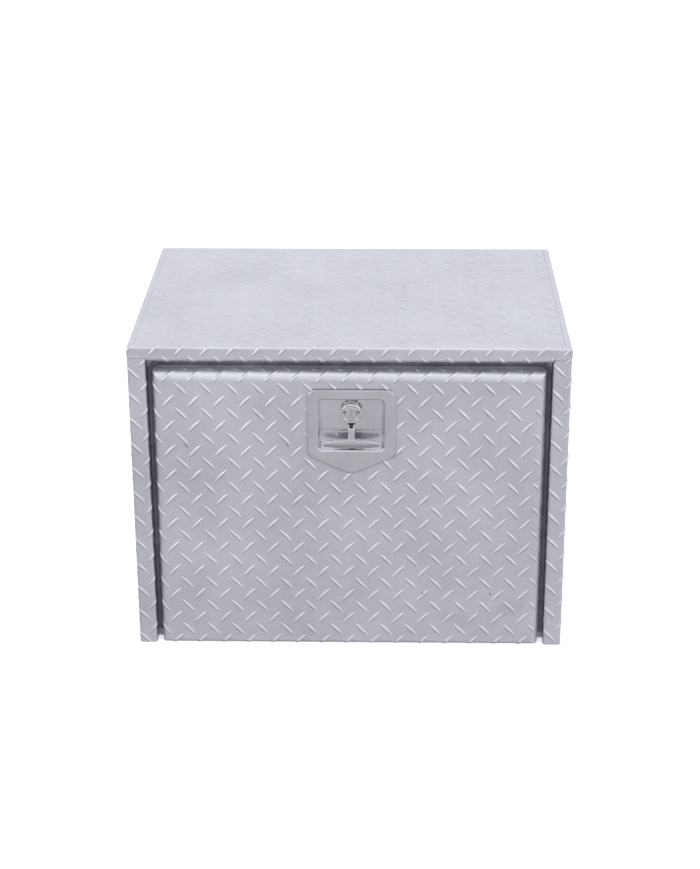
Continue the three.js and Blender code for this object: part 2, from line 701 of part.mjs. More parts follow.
// ---------------------------------------------------------------- cable anchor tabs
// On the box: a plate on the side sheet with an ear standing into the box.
function boxTab(side) {
  const wall = half - SHEET - GAP;
  const [p0, p1] = [side * wall, side * (wall - TAB_THICK)].sort((a, b) => a - b);
  const [e0, e1] = [side * wall, side * (wall - TAB_EAR)].sort((a, b) => a - b);
  const [z0, z1] = [BOX_TAB_Z - TAB_SIZE, BOX_TAB_Z + TAB_SIZE];
  const plate = block(p0, p1, BOX_TAB_Y, BOX_TAB_Y + TAB_FOOT, z0, z1);
  const [low, high] = [BOX_TAB_Z - TAB_EAR_HALF, BOX_TAB_Z + TAB_EAR_HALF];
  const ear = block(e0, e1, BOX_TAB_Y, BOX_TAB_Y + TAB_THICK, low, high);
  const holeX = side * (wall - TAB_EAR + TAB_HOLE_IN);
  const hole = rod('y', [holeX, BOX_TAB_Z], TAB_HOLE_R, BOX_TAB_Y - 1, BOX_TAB_Y + TAB_THICK + 1, 14);
  return cut(join(plate, ear), hole);
}

// On the door: a plate on the liner with an ear standing back from it.
function doorTab(side) {
  const y0 = DOOR_DEPTH + GAP;
  const x = side * DOOR_TAB_X;
  const [z0, z1] = [DOOR_TAB_Z - TAB_SIZE, DOOR_TAB_Z + TAB_SIZE];
  const plate = block(x - TAB_FOOT, x + TAB_FOOT, y0, y0 + TAB_THICK, z0, z1);
  const [ear0, ear1] = [x - TAB_THICK / 2, x + TAB_THICK / 2];
  const [low, high] = [DOOR_TAB_Z - TAB_EAR_HALF, DOOR_TAB_Z + TAB_EAR_HALF];
  const ear = block(ear0, ear1, y0, y0 + TAB_EAR, low, high);
  const hole = rod('x', [y0 + TAB_EAR - TAB_HOLE_IN, DOOR_TAB_Z], TAB_HOLE_R, x - 5, x + 5, 14);
  return cut(join(plate, ear), hole);
}

// ---------------------------------------------------------------- assembly
const toolBox = new THREE.Group();
toolBox.position.y = -DEPTH / 2;

function add(name, body, material) {
  const mesh = new THREE.Mesh(geometryOf(body), material);
  mesh.name = name;
  toolBox.add(mesh);
}

add('top_panel', topPanel(), treadPlate);
add('left_side_panel', sidePanel(-1), treadPlate);
add('right_side_panel', sidePanel(1), treadPlate);
add('back_panel', backPanel(), treadPlate);
add('floor_panel', floorPanel(), treadPlate);
add('door_seal', doorSeal(), rubber);
add('strike_plate', strikePlate(), stainless);
add('left_box_tab', boxTab(-1), plainAluminium);
add('right_box_tab', boxTab(1), plainAluminium);

add('door_skin', doorSkin(), treadPlate);
add('door_liner', doorLiner(), plainAluminium);
add('left_door_tab', doorTab(-1), plainAluminium);
add('right_door_tab', doorTab(1), plainAluminium);

const doorLeafFront = HINGE_Y - BARREL_R;
const bodyLeafFront = HINGE_Y + BARREL_R - LEAF;
add('hinge_leaf_door', hingeLeaf(doorLeafFront, 1, 0), stainless);
add('hinge_leaf_box', hingeLeaf(bodyLeafFront, 0, RIVET_SHIFT), stainless);
add('hinge_pin', rod('x', [HINGE_Y, HINGE_Z], PIN_R, -HINGE_HALF, HINGE_HALF, 12), stainless);

add('latch_pan', latchPan(), stainless);
add('latch_gasket', latchGasket(), rubber);
add('latch_backing_frame', backingFrame(), zinc);
studPlaces().forEach(([x, z], i) => {
  add(`latch_stud_${i + 1}`, stud(x, z), zinc);
  add(`latch_nut_${i + 1}`, nut(x, z), zinc);
});
add('latch_hub', latchHub(), chrome);
add('lock_plug', lockPlug(), chrome);
add('t_handle', tHandle(), chrome);
add('handle_pin', handlePin(), zinc);
const bushFront = RECESS_DEPTH + PAN_WALL + GAP;
add('spindle_bush', ringOnSpindle(BUSH_R, bushFront, CAM_FRONT - GAP, 24), zinc);
add('latch_cam', latchCam(), zinc);
const washerFront = CAM_FRONT + CAM_THICK + GAP;
add('cam_washer', ringOnSpindle(WASHER_R, washerFront, washerFront + WASHER_THICK, 20), zinc);
const nutFront = washerFront + WASHER_THICK + GAP;
add('cam_nut', ringOnSpindle(CAM_NUT_R, nutFront, SPINDLE_END - 0.5, 6), zinc);

const doorRivetTail = DOOR_DEPTH - SHEET - GAP;
rivetPlaces(0).forEach((x, i) => {
  add(`door_hinge_rivet_${i + 1}`, rivet(x, doorLeafFront + LEAF + GAP, 1, doorRivetTail), stainless);
});
const boxRivetTail = LIP_Y + SHEET + GAP;
rivetPlaces(RIVET_SHIFT).forEach((x, i) => {
  add(`box_hinge_rivet_${i + 1}`, rivet(x, bodyLeafFront - GAP, -1, boxRivetTail), stainless);
});

export default toolBox;
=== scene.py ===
# An underbody truck tool box in aluminium tread plate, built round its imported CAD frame.
# Shapes are written in millimetres from the front plane's foot: x right, y back, z up.
import math
import bmesh
import bpy
import numpy as np
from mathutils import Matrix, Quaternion, Vector
from mathutils.geometry import delaunay_2d_cdt


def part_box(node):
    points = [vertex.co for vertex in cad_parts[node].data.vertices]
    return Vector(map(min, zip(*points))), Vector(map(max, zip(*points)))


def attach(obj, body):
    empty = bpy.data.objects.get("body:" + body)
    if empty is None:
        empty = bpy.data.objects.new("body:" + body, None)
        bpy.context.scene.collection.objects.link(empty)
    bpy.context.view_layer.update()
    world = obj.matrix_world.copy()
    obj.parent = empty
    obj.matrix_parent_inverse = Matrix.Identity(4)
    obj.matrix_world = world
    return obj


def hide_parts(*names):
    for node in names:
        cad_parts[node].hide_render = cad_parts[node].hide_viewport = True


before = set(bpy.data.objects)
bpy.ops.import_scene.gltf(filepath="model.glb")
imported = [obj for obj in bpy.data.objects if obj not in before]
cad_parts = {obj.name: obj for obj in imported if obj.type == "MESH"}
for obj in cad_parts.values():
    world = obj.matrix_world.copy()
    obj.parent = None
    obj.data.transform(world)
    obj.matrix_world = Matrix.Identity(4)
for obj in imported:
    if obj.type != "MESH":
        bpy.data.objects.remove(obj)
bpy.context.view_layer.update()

MM = 0.001
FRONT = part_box("left_side_panel")[0].y  # the front plane in the row frame, in metres


def span(node):
    """A CAD node's low and high corners in the script's millimetres."""
    low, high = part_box(node)
    shift = Vector((0, FRONT, 0))
    return (low - shift) / MM, (high - shift) / MM


BOX_HALF = -span("left_side_panel")[0].x
BOX_TOP = span("top_panel")[1].z
BOX_BACK = span("top_panel")[1].y
SHEET = 2.5  # thickness
GAP = 0.3  # clearance between neighbouring sheets
OUTER_BEND = 4.0  # outer radius where a sheet's face is on the outside of the bend
INNER_BEND = 1.5  # radius of the face where it is on the inside
STILE = 25.0  # width of the flange at each side of the doorway
RAIL_FOOT = 435.0
JOINT = 440.6  # where the rail's ends meet the stiles
LIP_FRONT = 22.6  # front of the lips that carry the seal
BIG_FACE = 20.0  # area, in square millimetres, above which a flat face is shaded flat


# ---- camera
CAMERA_ELEVATION = 22.44
CAMERA_AZIMUTH = 1.24
CAMERA_ROLL = -0.18
CAMERA_DISTANCE = 2738.0
CAMERA_LENS = 81.65
CAMERA_AIM = (1.2, 0.0, 328.3)


def place(x, y, z):
    """A point in the script's millimetres, as metres in the row frame."""
    return Vector((x * MM, y * MM + FRONT, z * MM))


def add_camera():
    tilt = math.radians(CAMERA_ELEVATION)
    turn = math.radians(CAMERA_AZIMUTH)
    forward = Vector((-math.sin(turn) * math.cos(tilt), math.cos(turn) * math.cos(tilt), -math.sin(tilt)))
    data = bpy.data.cameras.new("camera")
    data.lens = CAMERA_LENS
    data.sensor_width = 36
    data.clip_start = 0.1
    data.clip_end = 60
    camera = bpy.data.objects.new("camera", data)
    bpy.context.scene.collection.objects.link(camera)
    camera.rotation_mode = "QUATERNION"
    look = forward.to_track_quat("-Z", "Y")
    camera.rotation_quaternion = look @ Quaternion(Vector((0, 0, 1)), math.radians(CAMERA_ROLL))
    camera.location = place(*CAMERA_AIM) - forward * CAMERA_DISTANCE * MM
    bpy.context.scene.camera = camera


add_camera()


# ---- mesh helpers
def new_object(name, points, faces, smooth=28):
    """A mesh object from points in the script's millimetres, smooth but for edges sharper than smooth."""
    mesh = bpy.data.meshes.new(name)
    points = np.asarray(points, float) * MM
    points[:, 1] += FRONT
    mesh.from_pydata(points.tolist(), [], [tuple(int(i) for i in f) for f in faces])
    mesh.update()
    mesh.shade_smooth()
    mesh.set_sharp_from_angle(angle=math.radians(smooth))
    piece = bpy.data.objects.new(name, mesh)
    bpy.context.scene.collection.objects.link(piece)
    return piece


def clean(piece, distance=0.005, smooth=28):
    """Merges points that coincide, drops the faces that leaves without area, and faces outwards."""
    form = bmesh.new()
    form.from_mesh(piece.data)
    bmesh.ops.remove_doubles(form, verts=form.verts, dist=distance * MM)
    bmesh.ops.dissolve_degenerate(form, edges=form.edges, dist=distance * MM)
    bmesh.ops.delete(form, geom=[v for v in form.verts if not v.link_faces], context="VERTS")
    bmesh.ops.recalc_face_normals(form, faces=form.faces)
    form.to_mesh(piece.data)
    form.free()
    piece.data.shade_smooth()
    piece.data.set_sharp_from_angle(angle=math.radians(smooth))


def settle(piece, body, slot, material, *nodes):
    """Puts a finished piece on its body and material, in place of CAD nodes; slot is not used."""
    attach(piece, body)
    if nodes:
        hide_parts(*nodes)
    piece.data.materials.clear()
    piece.data.materials.append(material)
    return piece


def flatten(piece, area=0.0):
    """Shades the faces square to an axis flat, so that the normals at their edges don't smear over them."""
    for face in piece.data.polygons:
        if max(abs(part) for part in face.normal) > 0.9998 and face.area > area * MM * MM:
            face.use_smooth = False


def inside(points, outline):
    """Which points lie inside a closed outline."""
    x, y = points[:, 0], points[:, 1]
    hit = np.zeros(len(points), bool)
    for (x0, y0), (x1, y1) in zip(outline, list(outline[1:]) + [outline[0]]):
        crosses = (y0 > y) != (y1 > y)
        hit ^= crosses & (x < (x1 - x0) * (y - y0) / ((y1 - y0) or 1e-9) + x0)
    return hit


class Drawing:
    """Lines in a plane, to be filled with triangles."""

    def __init__(self):
        self.points = []
        self.edges = []

    def line(self, points, closed=False):
        first = len(self.points)
        last = first + len(points) - 1
        self.points += [Vector((float(p[0]), float(p[1]))) for p in points]
        self.edges += [(i, i + 1) for i in range(first, last)]
        if closed:
            self.edges.append((last, first))

    def fill(self, outline, holes=()):
        flat, _, faces, _, _, _ = delaunay_2d_cdt(self.points, self.edges, [], 0, 1e-4, False)
        flat = np.array([(p.x, p.y) for p in flat])
        faces = np.array([f for f in faces if len(f) == 3])
        middle = flat[faces].mean(1)
        keep = inside(middle, outline)
        for hole in holes:
            keep &= ~inside(middle, hole)
        return flat, faces[keep]


def rim_edges(faces):
    """The edges that only one triangle has, in that triangle's direction."""
    edges = np.concatenate([faces[:, [0, 1]], faces[:, [1, 2]], faces[:, [2, 0]]])
    seen = {}
    for a, b in edges.tolist():
        seen[(min(a, b), max(a, b))] = seen.get((min(a, b), max(a, b)), 0) + 1
    return [(a, b) for a, b in edges.tolist() if seen[(min(a, b), max(a, b))] == 1]


def rounded(a0, a1, b0, b1, radius, steps=6):
    """A closed rectangle with rounded corners."""
    points = []
    corners = [
        (a1 - radius, b0 + radius),
        (a1 - radius, b1 - radius),
        (a0 + radius, b1 - radius),
        (a0 + radius, b0 + radius),
    ]
    for k, (a, b) in enumerate(corners):
        for i in range(steps + 1):
            angle = math.pi / 2 * (k - 1 + i / steps)
            points.append((a + radius * math.cos(angle), b + radius * math.sin(angle)))
    return points


def oval(a, b, wide, high, steps=32):
    turns = [2 * math.pi * i / steps for i in range(steps)]
    return [(a + wide * math.cos(turn), b + high * math.sin(turn)) for turn in turns]


def mirrored(half):
    """A closed outline from its right half."""
    return half + [(-a, b) for a, b in half[::-1]]


def band_faces(rings, around, closed=False):
    """The faces that join each ring of points to the next, and the last to the first if closed."""
    faces = []
    for i in range(rings if closed else rings - 1):
        here, there = i * around, (i + 1) % rings * around
        for j in range(around):
            after = (j + 1) % around
            faces.append((here + j, here + after, there + after, there + j))
    return faces


# ---- bent tread sheets
class Profile:
    """The outer face of a bent sheet: legs are straight lengths, or (radius, degrees) for a bend."""

    def __init__(self, legs, along=0.0, out=0.0, heading=0.0):
        self.legs = []
        self.marks = [0.0]
        heading = math.radians(heading)
        for leg in legs:
            radius, turn = leg if isinstance(leg, tuple) else (0.0, 0.0)
            turn = math.radians(turn)
            length = radius * abs(turn) if turn else float(leg)
            self.legs.append((self.marks[-1], length, radius, turn, along, out, heading))
            along, out, heading = (float(v[0]) for v in self._leg(self.legs[-1], np.array([length])))
            self.marks.append(self.marks[-1] + length)

    @staticmethod
    def _leg(leg, t):
        _, length, radius, turn, along, out, heading = leg
        if not turn:
            return along + t * math.cos(heading), out + t * math.sin(heading), heading + 0 * t
        side = math.copysign(1, turn)
        now = heading + turn * t / length
        mid_along = along - side * radius * math.sin(heading)
        mid_out = out + side * radius * math.cos(heading)
        return mid_along + side * radius * np.sin(now), mid_out - side * radius * np.cos(now), now

    def at(self, s):
        """along, out and heading at each developed length."""
        results = np.zeros((3, len(s)))
        for k, leg in enumerate(self.legs):
            low = -1e9 if k == 0 else leg[0]
            high = 1e9 if k == len(self.legs) - 1 else leg[0] + leg[1]
            pick = (s >= low) & (s <= high)
            if pick.any():
                results[:, pick] = np.array(self._leg(leg, s[pick] - leg[0]))
        return results

    def folds(self, steps=6):
        """The developed lengths where the sheet has to be divided to bend."""
        found = set()
        for start, length, _, turn, *_ in self.legs:
            if turn:
                found |= {start + length * i / steps for i in range(steps + 1)}
        return sorted(found)


BAR_LONG = 14.0  # half the length of a tread bar
BAR_WIDE = 2.5  # half its width
BAR_HIGH = 1.1
BAR_SLOPE = math.radians(46)
PITCH_X = 35.6
PITCH_Z = 37.2


def bar_half_width(s):
    """Half the width of a tread bar at s, from -1 at one point to 1 at the other."""
    return BAR_WIDE * np.maximum(1 - np.abs(s) ** 2.4, 0) ** 0.85


class Lattice:
    """The tread pattern: two families of bars that lean opposite ways, half a pitch apart."""

    def __init__(self, u, v, lean=1, pitch_u=PITCH_X, pitch_v=PITCH_Z):
        self.families = [(u, v, lean), (u + pitch_u / 2, v + pitch_v / 2, -lean)]
        self.pitch_u = pitch_u
        self.pitch_v = pitch_v
        self.bare = lambda u, v: np.zeros(len(u), bool)

    @staticmethod
    def places(start, pitch, low, high):
        """Where the bars that reach between low and high have their middles."""
        first = math.ceil((low - BAR_LONG - start) / pitch)
        last = math.floor((high + BAR_LONG - start) / pitch)
        return [start + i * pitch for i in range(first, last + 1)]

    def centres(self, low, high):
        for u0, v0, lean in self.families:
            for u in self.places(u0, self.pitch_u, low[0], high[0]):
                for v in self.places(v0, self.pitch_v, low[1], high[1]):
                    if not self.bare(np.array([u]), np.array([v]))[0]:
                        yield u, v, lean

    def height(self, flat):
        """How far the bars stand out at each point."""
        total = np.zeros(len(flat))
        cos, sin = math.cos(BAR_SLOPE), math.sin(BAR_SLOPE)
        for u0, v0, lean in self.families:
            u = u0 + np.round((flat[:, 0] - u0) / self.pitch_u) * self.pitch_u
            v = v0 + np.round((flat[:, 1] - v0) / self.pitch_v) * self.pitch_v
            du, dv = flat[:, 0] - u, (flat[:, 1] - v) * lean
            s = (du * cos + dv * sin) / BAR_LONG
            t = dv * cos - du * sin
            wide = bar_half_width(np.clip(s, -1, 1))
            share = np.where(wide > 1e-6, np.clip(1 - (t / np.maximum(wide, 1e-6)) ** 2, 0, 1), 0)
            rise = BAR_HIGH * share ** 0.9 * (1 - np.clip(np.abs(s), 0, 1) ** 4)
            total = np.maximum(total, np.where(self.bare(u, v), 0, rise))
        return total

    def draw(self, drawing, low, high, coarse):
        """Adds the lines along each bar that its rounded shape needs."""
        stations = 6 if coarse else 8
        shares = (-1, 0, 1) if coarse else (-1, -0.6, 0, 0.6, 1)
        cos, sin = math.cos(BAR_SLOPE), math.sin(BAR_SLOPE)
        along = np.sin(np.linspace(-math.pi / 2, math.pi / 2, stations + 1))
        for u, v, lean in self.centres(low, high):
            for share in shares:
                line = []
                for s in along:
                    t = share * float(bar_half_width(s))
                    du, dv = s * BAR_LONG * cos - t * sin, s * BAR_LONG * sin + t * cos
                    line.append((u + du, v + lean * dv))
                drawing.line(line)


def tread_sheet(name, origin, axes, profiles, outline, lattices, holes=(), creases=(), coarse=False):
    """A sheet of tread plate bent along two profiles: bars outside, plain inside."""
    low = np.min(outline, 0)
    high = np.max(outline, 0)
    frames = np.array(axes, float)
    hand = np.sign(np.dot(np.cross(frames[0], frames[1]), frames[2]))

    def shape(flat, offset):
        a, out_a, turn_a = profiles[0].at(flat[:, 0])
        b, out_b, turn_b = profiles[1].at(flat[:, 1])
        a = a - offset * np.sin(turn_a)
        b = b - offset * np.sin(turn_b)
        out = np.minimum(out_a + offset * np.cos(turn_a), out_b + offset * np.cos(turn_b))
        return np.array(origin) + a[:, None] * frames[0] + b[:, None] * frames[1] + out[:, None] * frames[2]

    def fold_lines(drawing):
        for s in profiles[0].folds():
            drawing.line([(s, low[1] - 1), (s, high[1] + 1)])
        for s in profiles[1].folds():
            drawing.line([(low[0] - 1, s), (high[0] + 1, s)])
        for crease in creases:
            drawing.line(crease)

    outer = Drawing()
    outer.line(outline, True)
    for hole in holes:
        outer.line(hole, True)
    fold_lines(outer)
    for lattice in lattices:
        lattice.draw(outer, low, high, coarse)
    flat, faces = outer.fill(outline, holes)
    height = np.max([lattice.height(flat) for lattice in lattices], 0)
    rim = rim_edges(faces)
    rim_points = sorted({i for edge in rim for i in edge})

    inner = Drawing()
    number = {p: k for k, p in enumerate(rim_points)}
    inner.points = [Vector(flat[p]) for p in rim_points]
    inner.edges = [(number[a], number[b]) for a, b in rim]
    fold_lines(inner)
    inner_flat, inner_faces = inner.fill(outline, holes)
    near = {tuple(np.round(p, 3)): k for k, p in enumerate(inner_flat)}
    points = np.concatenate([shape(flat, height), shape(inner_flat, np.full(len(inner_flat), -SHEET))])
    shift = len(flat)
    walls = []
    for a, b in rim:
        c, d = near.get(tuple(np.round(flat[b], 3))), near.get(tuple(np.round(flat[a], 3)))
        if c is not None and d is not None:
            walls.append((b, a, d + shift, c + shift))
    if hand < 0:
        faces = faces[:, ::-1]
        inner_faces = inner_faces[:, ::-1]
        walls = [wall[::-1] for wall in walls]
    all_faces = faces.tolist() + (inner_faces[:, ::-1] + shift).tolist() + walls
    piece = new_object(name, points, all_faces)
    mark = piece.data.attributes.new("bar", "FLOAT", "POINT")
    shares = np.concatenate([height / BAR_HIGH, np.zeros(len(inner_flat))])
    mark.data.foreach_set("value", shares.astype(np.float32))
    clean(piece)
    if coarse:
        flatten(piece)
    return piece


RIGHT, BACK, UP = np.eye(3)
FLAT = Profile([1000.0])  # longer than any sheet
SHEET_BEND = (OUTER_BEND, -90)
LIP_BEND = (INNER_BEND, 90)
RETURN_RUN = LIP_FRONT - INNER_BEND - OUTER_BEND
TOP_RUN = BOX_BACK - OUTER_BEND  # a sheet's straight length from the back to its front bend
SIDE_FOLD = 296.0  # how far in the side sheets' folded tops reach
SIDE_LIP = 262.0  # how far in their lips reach
TOP_LIP_FOOT = 400.0
WIDE_PART = 1.25  # the top sheet is as wide as the box from this far behind its front bend
UNDER_RAIL = 0.9  # in radians, how much of a stile's inner bend has the rail above it
BACK_CUT = 2.6  # the back sheet's cut corners
TOP_PITCH_X = 35.5
TOP_PITCH_Y = 36.5
TOP_ROW = 23.6  # the front row of bars on the top, from the front plane
RAIL_ROW = 0.5
STILE_BARS = ((-1, "left", 3.5, 8.5), (1, "right", 13.0, 14.3))  # side, name, a bar's place across and up
BACK_BAR = (8.0, 11.0)
FLOOR_BAR = (5.0, 9.0)
FRONT_MARGIN = 5  # bare strips, beside a bend or an edge
BACK_MARGIN = 7
FOLD_MARGIN = 9


def make_top(material):
    """The top sheet: from the back edge over the rail, back under it, then down into the lip."""
    rail = BOX_TOP - RAIL_FOOT - 2 * OUTER_BEND
    lip = RAIL_FOOT - INNER_BEND - TOP_LIP_FOOT
    run = Profile([TOP_RUN, SHEET_BEND, rail, SHEET_BEND, RETURN_RUN, LIP_BEND, lip])
    sheet_half, lip_half, gap_half = SIDE_FOLD - GAP, SIDE_LIP - GAP, BOX_HALF - STILE
    wide_from = TOP_RUN - WIDE_PART
    wide_to = run.marks[3] + OUTER_BEND * math.acos((OUTER_BEND - SHEET - GAP) / OUTER_BEND)
    joint = run.marks[2] + BOX_TOP - OUTER_BEND - JOINT
    half = [(sheet_half, 0), (sheet_half, wide_from), (BOX_HALF, wide_from), (BOX_HALF, joint)]
    half += [(gap_half, joint), (gap_half, wide_to), (lip_half, wide_to), (lip_half, run.marks[-1])]
    on_sheet = Lattice(0.0, BOX_BACK - TOP_ROW, 1, TOP_PITCH_X, TOP_PITCH_Y)
    on_sheet.bare = lambda u, v: (v > TOP_RUN - FRONT_MARGIN) | (v < BACK_MARGIN)
    on_rail = Lattice(TOP_PITCH_X / 2, run.marks[2] + RAIL_ROW, -1, TOP_PITCH_X)
    on_rail.bare = lambda u, v: v < TOP_RUN
    origin = (0, BOX_BACK, BOX_TOP)
    lattices = [on_sheet, on_rail]
    piece = tread_sheet("tread_top", origin, (RIGHT, -BACK, UP), (FLAT, run), mirrored(half), lattices)
    settle(piece, "box", "tread_plate", material, "top_panel")


def make_sides(material):
    """The side sheets: from the back edge round the stile, back along the door gap, then in to the lip."""
    stile = STILE - 2 * OUTER_BEND
    lip = BOX_HALF - STILE - INNER_BEND - SIDE_LIP
    run = Profile([TOP_RUN, SHEET_BEND, stile, SHEET_BEND, RETURN_RUN, LIP_BEND, lip])
    rise = Profile([BOX_TOP - OUTER_BEND, SHEET_BEND, BOX_HALF - OUTER_BEND - SIDE_FOLD])
    end, top = run.marks[-1], rise.marks[-1]
    rail_foot, stile_top = RAIL_FOOT - GAP, JOINT - GAP
    fold_front = TOP_RUN - WIDE_PART - GAP
    under_rail = run.marks[3] + OUTER_BEND * UNDER_RAIL
    outline = [(0, 0), (end, 0), (end, rail_foot), (under_rail, rail_foot), (under_rail, stile_top)]
    outline += [(fold_front, stile_top), (fold_front, top), (0, top)]
    for side, name, across, up in STILE_BARS:
        lattice = Lattice(run.marks[2] + across, up, side)
        lattice.bare = lambda u, v: v > BOX_TOP - OUTER_BEND - FOLD_MARGIN
        origin = (side * BOX_HALF, BOX_BACK, 0)
        axes = (-BACK, UP, side * RIGHT)
        piece = tread_sheet(f"tread_{name}_side", origin, axes, (run, rise), outline, [lattice])
        settle(piece, "box", "tread_plate", material, f"{name}_side_panel")


def make_back(material):
    high = span("back_panel")[1]
    cut_x, cut_z = high.x - BACK_CUT, high.z - BACK_CUT
    outline = [(-high.x, 0), (high.x, 0), (high.x, cut_z), (cut_x, high.z)]
    outline += [(-cut_x, high.z), (-high.x, cut_z)]
    origin = (0, BOX_BACK, 0)
    axes = (-RIGHT, UP, BACK)
    lattices = [Lattice(*BACK_BAR)]
    piece = tread_sheet("tread_back", origin, axes, (FLAT, FLAT), outline, lattices, coarse=True)
    settle(piece, "box", "tread_plate", material, "back_panel")


def make_base(material):
    """The floor sheet, with its front bent up into the lip below the doorway."""
    high = span("floor_panel")[1]
    run = Profile([high.y - LIP_FRONT - OUTER_BEND, SHEET_BEND, high.z - OUTER_BEND])
    cheek = high.y - LIP_FRONT - SHEET - GAP
    lip_half = SIDE_LIP - GAP
    half = [(high.x, 0), (high.x, cheek), (lip_half, cheek), (lip_half, run.marks[-1])]
    origin = (0, high.y, 0)
    axes = (RIGHT, -BACK, -UP)
    lattices = [Lattice(*FLOOR_BAR)]
    piece = tread_sheet("tread_floor", origin, axes, (FLAT, run), mirrored(half), lattices, coarse=True)
    settle(piece, "box", "tread_plate", material, "floor_panel")


DOOR_BEND = 10.0
DOOR_TOP_BEND = 14.0
DOOR_FOOT_BEND = 4.0
DOOR_BAR = (-1.5, 4.7)  # one bar's middle on the door
DOOR_MARGIN = 10  # the bare corners' size
DOOR_HOLE_HALF = 47.1
DOOR_HOLE_FOOT = 303.9
DOOR_HOLE_TOP = 381.6
DOOR_HOLE_CORNER = 5.0
CREASE_STEPS = 8
LATCH_X = 3.0
LATCH_Z = 360.0


def make_door(material):
    """The door's outer sheet, bent back all round, with the latch's hole in it."""
    low, high = span("door_skin")
    flange, foot, top_flange = high.y - DOOR_BEND, high.y - DOOR_FOOT_BEND, high.y - DOOR_TOP_BEND
    face_wide = 2 * high.x - 2 * DOOR_BEND
    face_high = high.z - low.z - DOOR_TOP_BEND - DOOR_FOOT_BEND
    side_bend = (DOOR_BEND, -90)
    across = Profile([flange, side_bend, face_wide, side_bend, flange], low.x, -high.y, 90)
    legs = [foot, (DOOR_FOOT_BEND, -90), face_high, (DOOR_TOP_BEND, -90), top_flange]
    up = Profile(legs, low.z, -high.y, 90)
    u0, u1 = across.marks[2], across.marks[3]
    v0, v1 = up.marks[2], up.marks[3]

    def to_u(a):
        return a - (low.x + DOOR_BEND) + u0

    def to_v(b):
        return b - (low.z + DOOR_FOOT_BEND) + v0

    def bare(u, v):
        near_side = (u < u0 + DOOR_MARGIN) | (u > u1 - DOOR_MARGIN)
        near_end = (v < v0 + DOOR_MARGIN) | (v > v1 - DOOR_MARGIN)
        return near_side & near_end

    # at each corner, the crease where the sheet has bent back as far one way as the other
    creases = []
    for start, side in ((u0, -1), (u1, 1)):
        for base, radius, sign in ((v1, DOOR_TOP_BEND, 1), (v0, DOOR_FOOT_BEND, -1)):
            line = []
            for i in range(CREASE_STEPS + 1):
                turn = math.pi / 2 * i / CREASE_STEPS
                depth = min(1.0, radius / DOOR_BEND * (1 - math.cos(turn)))
                other = math.acos(1 - depth)
                line.append((start + side * DOOR_BEND * other, base + sign * radius * turn))
            creases.append(line)
    width, height = across.marks[-1], up.marks[-1]
    outline = [(0, 0), (width, 0), (width, height), (0, height)]
    lattice = Lattice(to_u(DOOR_BAR[0]), to_v(DOOR_BAR[1]))
    lattice.bare = bare
    left, right = to_u(LATCH_X - DOOR_HOLE_HALF), to_u(LATCH_X + DOOR_HOLE_HALF)
    hole = rounded(left, right, to_v(DOOR_HOLE_FOOT), to_v(DOOR_HOLE_TOP), DOOR_HOLE_CORNER)
    axes = (RIGHT, UP, -BACK)
    piece = tread_sheet("tread_door", (0, 0, 0), axes, (across, up), outline, [lattice], [hole], creases)
    settle(piece, "door", "tread_plate", material, "door_skin")


# ---- latch
FLANGE_HALF = 61.5
FLANGE_TOP = 395.6
FLANGE_SHOULDER = 297.0
FLANGE_TIP = 270.7
FLANGE_TIP_HALF = 10.0
FLANGE_FRONT = -2.8
FLANGE_CORNER = 13.0
FLANGE_SHOULDER_R = 7.0
FLANGE_ROUNDING = ((0, 0.9), (0.35, 0.4), (1.0, 0.08))  # inset from the edge, drop from the face
RECESS = (LATCH_X - 45.5, LATCH_X + 45.5, 305.5, 380.0)
RECESS_CORNER = 6.0
RECESS_DEPTH = 12.0
TROUGH_TOP = 330.0
TROUGH_DEPTH = 18.0
PAN_LIP = 2.4  # width of the rolled edge round the recess
PAN_LIP_DROP = PAN_LIP * 0.9
PAN_RINGS = (-PAN_LIP, -1.9, -1.4, -0.9, -0.5, -0.1, 0.2, 0.5, 0.8, 1.2, 1.7, 2.4, 3.2)
PAN_THICK = 1.17
HUB_HOLE = 9.9
HUB_COLLAR = 11.2
HUB_COLLAR_HIGH = 0.8


def quadratic(a, b, c, steps=6):
    """Points on the curve from a to c that b pulls towards itself."""
    points = []
    for i in range(steps + 1):
        t = i / steps
        points.append(tuple((1 - t) ** 2 * p + 2 * t * (1 - t) * q + t * t * r for p, q, r in zip(a, b, c)))
    return points


def shield(inset):
    """The latch flange's outline, moved in by inset."""
    half, top, tip = FLANGE_HALF - inset, FLANGE_TOP - inset, FLANGE_TIP + inset
    corner, shoulder = FLANGE_CORNER - inset, FLANGE_SHOULDER_R
    slope = (FLANGE_SHOULDER - FLANGE_TIP) / (FLANGE_HALF - FLANGE_TIP_HALF)
    foot = FLANGE_SHOULDER + inset * 0.5
    end = FLANGE_TIP_HALF
    right = quadratic((end, tip + 2), (end + 1, tip + 2.4), (end + 2, tip + 3), 1)
    right += quadratic((half - shoulder, foot - shoulder * slope), (half, foot), (half, foot + shoulder))
    for i in range(7):
        angle = math.pi / 2 * i / 6
        right.append((half - corner + corner * math.cos(angle), top - corner + corner * math.sin(angle)))
    bottom = quadratic((-end, tip + 2), (0, tip - 2), (end, tip + 2), 8)
    outline = bottom[:-1] + mirrored(right)[:-1]
    return [(a + LATCH_X, b) for a, b in outline]


def smoothstep(t):
    t = np.clip(t, 0, 1)
    return t * t * (3 - 2 * t)


def rectangle_inset(flat, low_a, high_a, low_b, high_b, radius):
    """How far each point is inside a rounded rectangle, negative outside."""
    a = np.abs(flat[:, 0] - (low_a + high_a) / 2) - (high_a - low_a) / 2 + radius
    b = np.abs(flat[:, 1] - (low_b + high_b) / 2) - (high_b - low_b) / 2 + radius
    corner = np.hypot(np.maximum(a, 0), np.maximum(b, 0)) + np.minimum(np.maximum(a, b), 0)
    return radius - corner


